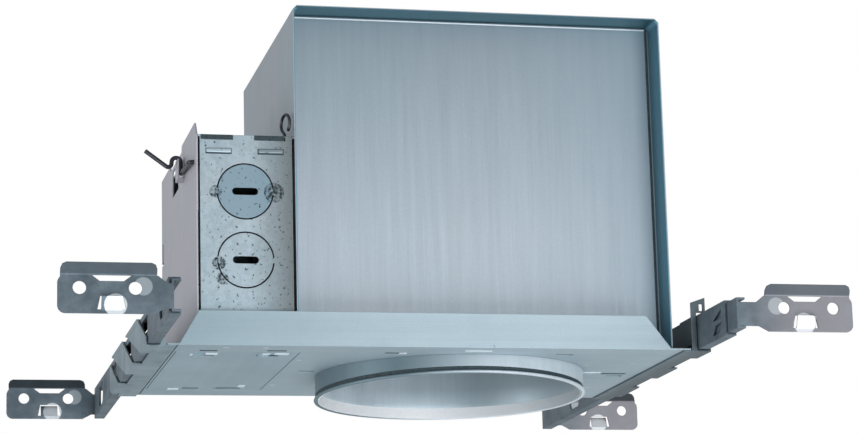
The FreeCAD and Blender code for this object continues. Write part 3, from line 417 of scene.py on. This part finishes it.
def plain(finish: PlainFinish) -> bpy.types.Material:
    """Build a simple finish with a light mottle.

    Args:
        finish: the look to build.

    Returns:
        The material.
    """
    shader = Shader(finish.name)
    grain = shader.noise((finish.grain,) * 3, 4.0, 0.6)
    colour = shader.mix(shader.ramp(grain, 0.4, 0.7), linear(finish.base), linear(finish.mottle))
    rounded = shader.add("ShaderNodeBevel", values={"Radius": finish.edge * MM}, samples=4)
    rough = shader.ramp(grain, 0.3, 0.7, finish.roughness - finish.grain_depth, finish.roughness + finish.grain_depth)
    surface = shader.add("ShaderNodeBsdfPrincipled", {"Base Color": colour, "Roughness": rough,
                                                      "Normal": rounded.outputs["Normal"]},
                         {"Metallic": finish.metallic, "Coat Weight": finish.coat})
    return shader.finish(surface.outputs[0])


# Pan: galvanised sheet, rolled along its length
PAN = SteelFinish("pan_galvanised_sheet", "#9FB0B7", "#AFBDC4", "#5D6E74", Axis.X, line_depth=0.07, cloud_share=0.5,
                  metallic=0.6, stain_share=0.03, stain_size=30.0,
                  shades=(Shade(Axis.X, -20.0, -150.0, "#7F939B", 0.55),))
# Access plate: the same sheet with its rolling lines turned
ACCESS = SteelFinish("access_plate_sheet", "#8EA1A9", "#9DAEB6", "#56666C", Axis.Y, line_depth=0.05, metallic=0.6,
                     stain_share=0.03, stain_size=30.0)
# Collar: paler than the pan, with a painted dark reflection darkening it towards the wiring box's side
COLLAR = SteelFinish("collar_spun_sheet", "#C3CDD2", "#D5DBDF", "#6B7C83", Axis.Z, line_length=30.0, line_width=2.5,
                     line_depth=0.05, metallic=0.4, stain_share=0.02, corner_shade=0.3, corner_shade_reach=3.0,
                     shades=(Shade(Axis.X, 34.0, -40.0, "#566B73", 0.95),))
# Ring inside the collar: spun sheet with a painted reflection that runs from pale on the left to dull on the right
RING = SteelFinish("ring_spun_sheet", "#B3C1C8", "#C6D0D6", "#5E6E75", Axis.Z, line_length=40.0, line_width=2.0,
                   line_depth=0.09, metallic=0.4, stain_share=0.03, corner_shade=0.2,
                   shades=(Shade(Axis.X, -45.0, 30.0, "#71828A", 0.75),))
# Lower band of the ring: painted nearly white as a highlight from the light below, with painted shade greying it
# towards the right
BAND = SteelFinish("ring_band_painted_highlight", "#E9EBEC", "#F2F2F2", "#9BA6AB", Axis.X, line_depth=0.03, metallic=0.15,
                   stain_share=0.02, corner_shade=0.1, shades=(Shade(Axis.X, 0.0, 68.0, "#8A989E", 0.8),))
# Box walls: pinkish grey outside; inside, a painted dark teal reflection, darker as painted shade under the top sheet
# than on the walls
WRAPPER = SteelFinish("wrapper_galvanised_sheet", "#A1ABB2", "#ADAEB4", "#4C626C", Axis.Z, cloud_size=80.0,
                      line_depth=0.05, stain_size=40.0, stain_share=0.03, inside="#3F6874",
                      inside_wall="#6391A2", corner_shade=0.6, corner_shade_reach=2.5)
# Front panel: pale blue-grey, lines upright, with painted shade darkening it towards the top, and bluer towards the
# right
PANEL = SteelFinish("panel_galvanised_sheet", "#A9B3BA", "#B1B3B9", "#8C989F", Axis.Z, line_length=45.0,
                    line_width=0.6, line_depth=0.085, cloud_size=140.0, cloud_share=0.4, stain_share=0.012,
                    stain_size=30.0, corner_shade=0.55, corner_shade_reach=2.0,
                    shades=(Shade(Axis.Z, 60.0, 175.0, "#748791", 0.62), Shade(Axis.X, 10.0, 95.0, "#90A6B2", 0.35)))
# Wiring box: spangled, with pits and stains, and browner beside the box
WIRING = SteelFinish("wiring_box_spangled_sheet", "#9DAEB6", "#B0B8BC", "#3B474B", Axis.Z, stain_share=0.05,
                     stain_size=6.0, spangle_depth=0.07, spangle_size=2.4, corner_shade=0.85, corner_shade_reach=2.5, pits=0.85,
                     pit_size=1.9, line_depth=0.03,
                     shades=(Shade(Axis.X, -118.0, -97.0, "#616766", 0.85), Shade(Axis.Z, 22.0, 6.0, "#7E8C90", 0.4)),
                     spots=(Spot(-119.8, 76.4, 13.9, "#7F96A2", 0.85), Spot(-134.4, 76.0, 3.4, "#2C383C", 1.0, True),
                            Spot(-105.6, 76.0, 5.2, "#252F33", 1.0, True),
                            Spot(-133.0, 40.5, 3.6, "#2C383C", 1.0, True),
                            Spot(-131.4, 33.0, 3.2, "#2C383C", 1.0, True)))
# Side cover: cleaner sheet, painted with the warm tone that the light from its side gives it
COVER = SteelFinish("cover_galvanised_sheet", "#B4B4BB", "#BEBBC1", "#6C7277", Axis.Z, line_depth=0.04,
                    stain_size=40.0, stain_share=0.02, corner_shade=0.3, corner_shade_reach=2.0)
# Hanger bars: darker strip, warmer grey towards the right, the feet's lips painted almost black as shade, pale patches
# and painted highlights on the leaning tongues at the nail holes
BAR = SteelFinish("bar_galvanised_strip", "#515D65", "#737F87", "#1F272B", Axis.Y, line_depth=0.10, cloud_size=14.0,
                  stain_size=9.0, stain_share=0.10, corner_shade=0.8, metallic=0.55, roughness=0.5,
                  shades=(Shade(Axis.X, 110.0, 140.0, "#948F92", 0.7), Shade(Axis.Z, 17.5, 18.1, "#2B343A", 0.8)),
                  spots=(Spot(-179.4, 12.5, 4.4, "#A9B1B6", 0.6), Spot(-191.8, 3.9, 5.4, "#D2D7DA", 0.9),
                         Spot(128.8, 12.4, 4.4, "#B4B8BA", 0.6), Spot(142.6, 3.9, 5.6, "#D9DBDC", 0.9)))
# Guides of the bars: the same strip a little cleaner, darker towards the right, with painted shade making the corners
# between the fingers black
GUIDE = SteelFinish("guide_galvanised_strip", "#75868D", "#93A1A8", "#252F33", Axis.Y, cloud_size=18.0,
                    stain_size=9.0, stain_share=0.10, corner_shade=0.85, metallic=0.6,
                    shades=(Shade(Axis.X, 90.0, 108.0, "#3E4749", 0.7),))
# Strap and lamp plate: plain strip out of the weather
STRAP = SteelFinish("strap_galvanised_strip", "#9DA9AF", "#B0BABF", "#454F53", Axis.Z)
# Drawn spring wire: nearly black, with a thin bright line along it
WIRE = SteelFinish("drawn_spring_wire", "#3A3C41", "#55585E", "#15171A", Axis.X, line_length=20.0, line_width=0.3,
                   metallic=0.9, roughness=0.35, corner_shade=0.2)
# Seams and slots between folded sheets: matt plates painted as dark as the shade in the space behind them
SEAM_SHADOW = PlainFinish("shaded_seam", "#2B3B40", "#1E2B2F", roughness=0.7)
# Folded or sheared sheet edges and lug tips: a painted highlight, paler than the faces
EDGE_HIGHLIGHT = SteelFinish("folded_edge_painted_highlight", "#CDD6DA", "#DDE3E6", "#7B888D", Axis.X, line_depth=0.04, metallic=0.5,
                   corner_shade=0.3, corner_shade_reach=1.0)
# Embossed pry-out bars: the wiring box's own spangled sheet, paler on the left and darker on the right
PRYOUT_LIGHT = SteelFinish("pryout_light_sheet", "#A3B3BA", "#B4C1C7", "#44525A", Axis.X, pits=0.5, pit_size=1.5)
PRYOUT_DARK = SteelFinish("pryout_darker_sheet", "#7A878B", "#8E999C", "#2F3B40", Axis.X, pits=0.6, pit_size=1.5)
# Rivets: bright heads with painted shade round them
RIVET = SteelFinish("bright_rivet", "#B9C4CA", "#D0D8DC", "#3F4A50", Axis.X, line_length=4.0, corner_shade=0.7)
# Lampholder: glazed porcelain, cream and glossy
PORCELAIN = PlainFinish("glazed_porcelain", "#E2DFD6", "#D6D2C6", roughness=0.22, coat=0.4)
# Screw shell and centre contact: drawn brass, yellow and shiny
BRASS = PlainFinish("socket_brass", "#C9A764", "#B48F4C", metallic=1.0, roughness=0.3)
# Wing nut and clamp screw: zinc plate, a cool soft shine
ZINC = PlainFinish("zinc_plated_screw", "#B5B8BA", "#A3A7AA", metallic=0.95, roughness=0.3)
# Thermal protector's case: moulded red plastic, half glossy
CASE = PlainFinish("moulded_protector_case", "#A8221C", "#8F1C18", roughness=0.35)
# Bushing: moulded black nylon, matt
NYLON = PlainFinish("black_nylon", "#1B1B1D", "#26272A", roughness=0.5)
# Ground screw: green dyed zinc plate
GREEN = PlainFinish("green_bonding_screw", "#1D6B3A", "#17552F", metallic=0.4, roughness=0.35)


class Housing:
    """Gives each CAD node listed in FINISHES its finish."""

    FINISHES: dict[str, tuple[SteelFinish | PlainFinish, tuple[str, ...]]] = {
        "pan": (PAN, ("mounting_pan",)),
        "access": (ACCESS, ("access_plate",)),
        "wrapper": (WRAPPER, ("box_wrapper",)),
        "panel": (PANEL, ("front_panel", "rear_panel")),
        "wiring": (WIRING, ("wiring_box",)),
        "cover": (COVER, ("side_cover",)),
        "bar": (BAR, ("left_outer_bar", "left_inner_bar", "right_outer_bar", "right_inner_bar")),
        "guide": (GUIDE, ("left_bar_guide", "right_bar_guide")),
        "strap": (STRAP, ("socket_strap", "socket_plate", "protector_clip")),
        "wire": (WIRE, ("latch_wire", "wire_loop")),
        "rivet": (RIVET, ("box_rivets", "collar_rivets", "wiring_rivets")),
        "porcelain": (PORCELAIN, ("lampholder",)),
        "brass": (BRASS, ("screw_shell", "centre_contact")),
        "zinc": (ZINC, ("wing_nut", "clamp_screw")),
        "case": (CASE, ("thermal_protector",)),
        "nylon": (NYLON, ("wire_bushing",)),
        "green": (GREEN, ("ground_screw",)),
    }

    def __init__(self, nodes: dict[str, bpy.types.Object]) -> None:
        """Keep the frame's nodes.

        Args:
            nodes: node name to object.
        """
        self.nodes = nodes

    def paint(self) -> None:
        """Put one material on each CAD node listed in FINISHES."""
        for finish, names in self.FINISHES.values():
            material = steel(finish) if isinstance(finish, SteelFinish) else plain(finish)
            for name in names:
                slots = self.nodes[name].data.materials
                slots.clear()
                slots.append(material)
                LOG.info("%s: %s", name, material.name)


@dataclass(frozen=True)
class ApertureSizes:
    """Sizes of the collar and its inner ring in millimetres.

    The rim is a little higher in front than behind: rim_middle is its height at the sides, rim_slope how much it
    falls towards the rear, and rim_bow how much the front and the rear rise above that slope.
    """

    flange: float = 77.0
    radius: float = 70.0
    neck: float = 68.8
    seat: float = 0.8
    sheet: float = 0.8
    rim_middle: float = -12.5
    rim_slope: float = 2.3
    rim_bow: float = 0.8
    band_rise: float = 6.6
    wall_rise: float = 12.4
    segments: int = 192


class Aperture:
    """The spun collar with its rolled rim, and the ring inside it."""

    def __init__(self, sizes: ApertureSizes) -> None:
        """Keep the sizes.

        Args:
            sizes: millimetres.
        """
        self.sizes = sizes

    def turned(self, name: str, loop: list[tuple[float, float, float]],
               material: bpy.types.Material) -> bpy.types.Object:
        """Turn a closed outline round the Z axis, with part of it following the sloping rim.

        Args:
            name: the piece's name.
            loop: radius, height, and how far the rim's height is added (0 or 1), in millimetres.
            material: the finish.

        Returns:
            The piece.
        """
        sizes = self.sizes
        count, turns = len(loop), sizes.segments
        vertices, faces = [], []
        for step in range(turns):
            angle = 2.0 * math.pi * step / turns
            share = math.sin(angle)
            rim = sizes.rim_middle - sizes.rim_slope * share + sizes.rim_bow * share * share
            for radius, height, follow in loop:
                vertices.append((radius * math.cos(angle) * MM, radius * share * MM, (height + follow * rim) * MM))
        for step in range(turns):
            after = (step + 1) % turns
            for index in range(count):
                other = (index + 1) % count
                faces.append((step * count + index, step * count + other, after * count + other,
                              after * count + index))
        mesh = bpy.data.meshes.new(name)
        mesh.from_pydata(vertices, [], faces)
        mesh.shade_smooth()
        mesh.set_sharp_from_angle(angle=math.radians(28.0))
        mesh.materials.append(material)
        piece = bpy.data.objects.new(name, mesh)
        bpy.context.scene.collection.objects.link(piece)
        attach(piece, "housing")
        LOG.info("%s: %s", name, material.name)
        return piece

    def build(self) -> None:
        """Make the collar, a dark ring painted as the shade in the groove under its bead, the ring, and the ring's
        lower band with its painted highlight.
        """
        sizes = self.sizes
        seat, top = sizes.seat, sizes.seat + sizes.sheet
        outer, inner = sizes.radius, sizes.radius - sizes.sheet
        bead = [(outer + 0.1, 1.5, 1.0), (outer + 0.6, 1.3, 1.0), (outer + 0.8, 0.8, 1.0), (outer + 0.6, 0.3, 1.0),
                (outer, 0.05, 1.0), (inner, 0.0, 1.0), (inner - 0.3, 0.4, 1.0)]
        collar = self.turned("spun_collar", [
            (sizes.flange, top, 0.0), (sizes.flange, seat, 0.0), (sizes.neck, seat, 0.0), (sizes.neck, 0.0, 0.0),
            (outer, -0.02, 0.0), (outer, 3.5, 1.0), (inner - 0.2, 3.4, 1.0), (inner - 0.2, 1.7, 1.0), *bead,
            (inner - 0.3, 3.8, 1.0), (inner - 0.3, -1.0, 0.0), (sizes.neck - sizes.sheet, -1.0, 0.0),
            (sizes.neck - sizes.sheet, top, 0.0)], steel(COLLAR))
        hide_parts("aperture_collar")
        shade = self.turned("collar_rim_groove_shadow", [
            (outer - 0.35, 1.6, 1.0), (outer - 0.35, 3.45, 1.0), (inner - 0.1, 3.45, 1.0), (inner - 0.1, 1.6, 1.0)],
            plain(SEAM_SHADOW))
        band = self.turned("ring_lower_band", [
            (68.7, 0.5, 1.0), (68.7, sizes.band_rise, 1.0), (68.1, sizes.band_rise + 0.3, 1.0), (68.1, 0.4, 1.0)],
            steel(BAND))
        ring = self.turned("ring_upper_wall", [
            (68.5, sizes.band_rise - 0.6, 1.0), (67.9, sizes.band_rise + 1.2, 1.0), (67.6, top, 0.0), (71.0, top, 0.0),
            (71.0, top + 0.6, 0.0), (67.6, top + 0.6, 0.0), (67.6, sizes.wall_rise, 0.0), (67.0, sizes.wall_rise, 0.0),
            (67.0, top, 0.0), (67.3, sizes.band_rise + 1.2, 1.0), (67.9, sizes.band_rise - 0.6, 1.0)], steel(RING))
        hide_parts("trim_ring")


@dataclass(frozen=True)
class Mark:
    """A small rectangle on the pan's underside in millimetres: a lug tip's painted highlight, or else a dark plate
    painted as the shade in a slot or seam.
    """

    name: str
    left: float
    right: float
    front: float
    rear: float
    bright: bool


@dataclass(frozen=True)
class PryoutBar:
    """An embossed bar near the top of the wiring box's front, in millimetres."""

    name: str
    left: float
    right: float
    height: float
    finish: SteelFinish


@dataclass(frozen=True)
class TrimSizes:
    """Sizes of the folds, gaps, bars, slots and marks in millimetres.

    skin is how far a dark plate stands proud of its sheet, and root how deep a small piece is let into it.
    """

    skin: float = 0.12
    bright_skin: float = 0.3
    root: float = 0.3
    plate_root: float = 0.1
    fold_left: float = 1.2
    fold_right: float = 2.2
    fold_proud: float = 0.45
    fold_low: float = 1.5
    fold_high: float = 0.7
    gap_right: tuple[float, float] = (2.3, 1.0)
    gap_left: tuple[float, float] = (0.1, 0.8)
    gap_root: float = 0.4
    gap_short: float = 1.0
    bar_half: float = 1.1
    bar_proud: float = 0.7
    bar_root: float = 0.6
    shade_side: float = 0.3
    shade_low: float = 1.75
    shade_high: float = 1.15
    slot_deep: float = 2.4
    slot_root: float = 3.0
    slot_over: float = 0.05
    slit_low: tuple[float, float, float] = (0.95, 46.6, 66.0)
    slit_high: tuple[float, float, float] = (0.7, 48.2, 76.5)
    pryouts: tuple[PryoutBar, ...] = (
        PryoutBar("left", -138.8, -126.6, 96.6, PRYOUT_LIGHT),
        PryoutBar("right", -113.2, -100.8, 96.7, PRYOUT_DARK),
    )
    top_slots: tuple[tuple[str, float, float], ...] = (("left", -141.5, -125.5), ("right", -115.1, -100.2))
    underside: tuple[Mark, ...] = (
        Mark("lug_slot_left", -140.7, -132.1, -73.6, -71.2, False),
        Mark("lug_slot_right", -107.7, -98.2, -74.8, -72.4, False),
        Mark("arc_slot_left", -133.4, -124.9, 50.4, 52.6, False),
        Mark("arc_slot_right", -115.3, -102.5, 49.2, 51.4, False),
        Mark("spring_slot_front", -48.4, -41.4, -71.4, -69.6, False),
        Mark("spring_slot_side", 80.3, 93.0, -11.6, -8.8, False),
        Mark("pan_left_seam", -153.7, -153.1, -88.0, 74.0, False),
        Mark("lug_tip_left", -143.9, -139.1, -62.0, -58.0, True),
        Mark("lug_edge_left", -136.7, -130.7, -65.0, -60.5, True),
        Mark("lug_tip_right", -108.7, -104.8, -65.2, -62.0, True),
        Mark("lug_edge_right", -102.8, -95.6, -66.4, -62.2, True),
        Mark("arc_tip_left", -141.0, -135.0, 52.6, 57.0, True),
        Mark("arc_tip_right", -104.9, -101.3, 40.0, 46.0, True),
        Mark("spring_tip_front", -41.3, -37.5, -71.0, -68.6, True),
        Mark("lip_clip", -9.9, 3.7, -80.4, -78.4, True),
        Mark("spring_tip_side", 67.6, 78.7, -14.8, -11.8, True),
    )


class Trim:
    """Small folded edges, seams, slots and embossed pry-outs that lie on the sheets, mostly thin plates of painted
    shade or painted highlight.
    """

    def __init__(self, sizes: TrimSizes) -> None:
        """Keep the sizes and make the two finishes that the pieces share.

        Args:
            sizes: millimetres.
        """
        self.sizes = sizes
        # Dark plates painted as the shade in gaps and slots, and a painted highlight for folded edges and lug tips
        self.seam = plain(SEAM_SHADOW)
        self.edge = steel(EDGE_HIGHLIGHT)

    def strip(self, name: str, low: tuple[float, float, float], high: tuple[float, float, float],
              material: bpy.types.Material, bevel: float) -> bpy.types.Object:
        """A strip with rounded edges between two corners.

        Args:
            name: the piece's name.
            low: the lowest corner in metres.
            high: the highest corner in metres.
            material: the finish.
            bevel: the rounding of its edges in metres.

        Returns:
            The piece.
        """
        corners = [(x, y, z) for x in (low[0], high[0]) for y in (low[1], high[1]) for z in (low[2], high[2])]
        faces = [(0, 1, 3, 2), (4, 6, 7, 5), (0, 4, 5, 1), (2, 3, 7, 6), (0, 2, 6, 4), (1, 5, 7, 3)]
        mesh = bpy.data.meshes.new(name)
        mesh.from_pydata(corners, [], faces)
        mesh.materials.append(material)
        piece = bpy.data.objects.new(name, mesh)
        bpy.context.scene.collection.objects.link(piece)
        rounding = piece.modifiers.new("rounded_edges", "BEVEL")
        rounding.width = bevel
        rounding.segments = 4
        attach(piece, "housing")
        LOG.info("%s: %s", name, material.name)
        return piece

    def panel_edges(self) -> None:
        """The fold along the top of the front panel in a painted highlight, and dark plates painted as the shade in
        the gaps at its sides.
        """
        sizes = self.sizes
        low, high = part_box("front_panel")
        face = low[1]
        edge = self.strip(
            "panel_top_fold_highlight",
            (low[0] + sizes.fold_left * MM, face - sizes.fold_proud * MM, high[2] - sizes.fold_low * MM),
            (high[0] - sizes.fold_right * MM, face + sizes.root * MM, high[2] - sizes.fold_high * MM),
            self.edge, 0.3 * MM)
        right = tuple(high[0] - inset * MM for inset in sizes.gap_right)
        left = tuple(low[0] + inset * MM for inset in sizes.gap_left)
        for name, (start, end) in (("panel_right_gap_shadow", right), ("panel_left_gap_shadow", left)):
            gap = self.strip(name, (start, face - sizes.skin * MM, low[2] + sizes.gap_short * MM),
                             (end, face + sizes.gap_root * MM, high[2] - sizes.gap_short * MM), self.seam, 0.05 * MM)

    def pryouts(self) -> None:
        """The embossed bars near the top of the wiring box's front, with dark plates painted as the shade round them
        and in the slots over them.
        """
        sizes = self.sizes
        low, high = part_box("wiring_box")
        face, top = low[1], high[2]
        for spot in sizes.pryouts:
            shade = self.strip(
                f"pryout_{spot.name}_shade",
                ((spot.left - sizes.shade_side) * MM, face - sizes.skin * MM, (spot.height - sizes.shade_low) * MM),
                ((spot.right + sizes.shade_side) * MM, face + sizes.root * MM, (spot.height + sizes.shade_high) * MM),
                self.seam, 0.1 * MM)
            bar = self.strip(
                f"pryout_{spot.name}",
                (spot.left * MM, face - sizes.bar_proud * MM, (spot.height - sizes.bar_half) * MM),
                (spot.right * MM, face + sizes.bar_root * MM, (spot.height + sizes.bar_half) * MM),
                steel(spot.finish), 0.6 * MM)
        for name, left, right in sizes.top_slots:
            slot = self.strip(f"top_slot_{name}", (left * MM, face - sizes.skin * MM, top - sizes.slot_deep * MM),
                              (right * MM, face + sizes.slot_root * MM, top + sizes.slot_over * MM),
                              self.seam, 0.1 * MM)

    def underside(self) -> None:
        """Painted shade in slots and seams and painted highlights on lug tips, as thin plates on the pan's underside.
        """
        for mark in self.sizes.underside:
            proud = self.sizes.bright_skin if mark.bright else self.sizes.skin
            plate = self.strip(mark.name, (mark.left * MM, mark.front * MM, -proud * MM),
                               (mark.right * MM, mark.rear * MM, self.sizes.plate_root * MM),
                               self.edge if mark.bright else self.seam, 0.09 * MM)

    def cover_slit(self) -> None:
        """A dark plate painted as the shade in the slit near the rear edge of the side cover."""
        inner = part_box("side_cover")[1][0]
        outside, front, low = self.sizes.slit_low
        inside, rear, high = self.sizes.slit_high
        slit = self.strip("cover_rear_slit", (inner - outside * MM, front * MM, low * MM),
                          (inner - inside * MM, rear * MM, high * MM), self.seam, 0.05 * MM)

    def build(self) -> None:
        """Add every small piece."""
        self.panel_edges()
        self.pryouts()
        self.underside()
        self.cover_slit()


@dataclass(frozen=True)
class Lamp:
    """One soft studio light."""

    name: str
    place: tuple[float, float, float]
    aim: tuple[float, float, float]
    width: float
    height: float
    watts: float
    colour: str


@dataclass(frozen=True)
class CameraSizes:
    """The viewpoint, measured from the photograph's perspective."""

    place: tuple[float, float, float] = (-0.3137, -1.3401, -0.2071)
    yaw: float = 0.224
    pitch: float = 0.209
    roll: float = -0.026
    lens: float = 111.5


class Studio:
    """The pale surroundings, the lights and the camera."""

    LAMPS = (
        Lamp("front_light", (0.5, -2.0, 0.1), (0.0, 0.0, 0.03), 1.6, 1.0, 7.5, "#FBFCFF"),
        Lamp("under_light", (0.2, -1.0, -0.85), (0.0, -0.05, 0.0), 1.5, 0.9, 17.0, "#F6FAFF"),
        Lamp("right_light", (1.6, -0.6, 0.5), (0.0, 0.0, 0.08), 0.9, 1.2, 6.0, "#F6FAFF"),
        Lamp("left_light", (-1.7, -0.2, -0.2), (0.0, 0.0, 0.03), 0.9, 1.2, 17.0, "#FFFAFA"),
    )
    ROOM_COLOUR = "#DCE3E7"
    ROOM_STRENGTH = 0.62
    FLOOR_COLOUR = "#F2F3F4"
    FLOOR_HALF = 3.0
    FLOOR_HEIGHT = -1.1

    def surroundings(self) -> None:
        """White behind the object and softer grey in its reflections."""
        scene = bpy.context.scene
        world = bpy.data.worlds.new("studio_surroundings")
        scene.world = world
        world.use_nodes = True
        tree = world.node_tree
        tree.nodes.clear()
        output = tree.nodes.new("ShaderNodeOutputWorld")
        path = tree.nodes.new("ShaderNodeLightPath")
        seen = tree.nodes.new("ShaderNodeBackground")
        seen.inputs["Color"].default_value = (1.0, 1.0, 1.0, 1.0)
        room = tree.nodes.new("ShaderNodeBackground")
        room.inputs["Color"].default_value = linear(self.ROOM_COLOUR)
        room.inputs["Strength"].default_value = self.ROOM_STRENGTH
        mix = tree.nodes.new("ShaderNodeMixShader")
        tree.links.new(path.outputs["Is Camera Ray"], mix.inputs["Fac"])
        tree.links.new(room.outputs[0], mix.inputs[1])
        tree.links.new(seen.outputs[0], mix.inputs[2])
        tree.links.new(mix.outputs[0], output.inputs["Surface"])

    def floor(self) -> None:
        """A wide pale floor well below the camera."""
        shader = Shader("pale_studio_floor")
        surface = shader.add("ShaderNodeBsdfDiffuse", values={"Color": linear(self.FLOOR_COLOUR)})
        material = shader.finish(surface.outputs[0])
        mesh = bpy.data.meshes.new("studio_floor")
        half, depth = self.FLOOR_HALF, self.FLOOR_HEIGHT
        mesh.from_pydata([(-half, -half, depth), (half, -half, depth), (half, half, depth), (-half, half, depth)], [],
                         [(0, 1, 2, 3)])
        floor = bpy.data.objects.new("studio_floor", mesh)
        floor.data.materials.append(material)
        bpy.context.scene.collection.objects.link(floor)

    def lights(self) -> None:
        """Area lights, each aimed at a point of the object."""
        for lamp in self.LAMPS:
            data = bpy.data.lights.new(lamp.name, "AREA")
            data.shape = "RECTANGLE"
            data.size = lamp.width
            data.size_y = lamp.height
            data.energy = lamp.watts
            data.color = linear(lamp.colour)[:3]
            light = bpy.data.objects.new(lamp.name, data)
            place = Vector(lamp.place)
            light.location = place
            light.rotation_euler = (Vector(lamp.aim) - place).to_track_quat("-Z", "Y").to_euler()
            bpy.context.scene.collection.objects.link(light)

    def camera(self, sizes: CameraSizes) -> None:
        """Set the camera from its yaw, pitch and roll.

        Args:
            sizes: the measured viewpoint.
        """
        ahead = Vector((math.sin(sizes.yaw) * math.cos(sizes.pitch), math.cos(sizes.yaw) * math.cos(sizes.pitch),
                        math.sin(sizes.pitch)))
        level = Vector((math.cos(sizes.yaw), -math.sin(sizes.yaw), 0.0))
        up = level.cross(ahead)
        right = level * math.cos(sizes.roll) + up * math.sin(sizes.roll)
        above = up * math.cos(sizes.roll) - level * math.sin(sizes.roll)
        data = bpy.data.cameras.new("studio_camera")
        data.sensor_width = 36.0
        data.lens = sizes.lens
        data.clip_start = 0.05
        data.clip_end = 20.0
        camera = bpy.data.objects.new("studio_camera", data)
        turn = Matrix((right, above, -ahead)).transposed().to_4x4()
        camera.matrix_world = Matrix.Translation(Vector(sizes.place)) @ turn
        bpy.context.scene.collection.objects.link(camera)
        bpy.context.scene.camera = camera

    def build(self) -> None:
        """Set up everything round the object."""
        self.surroundings()
        self.floor()
        self.lights()
        self.camera(CameraSizes())
        bpy.context.scene.view_settings.view_transform = "Standard"


def main() -> None:
    """Build the picture, and report each piece."""
    logging.basicConfig(level=logging.INFO)
    Housing(frame["nodes"]).paint()
    Aperture(ApertureSizes()).build()
    Trim(TrimSizes()).build()
    Studio().build()


if __name__ == "__main__":
    main()
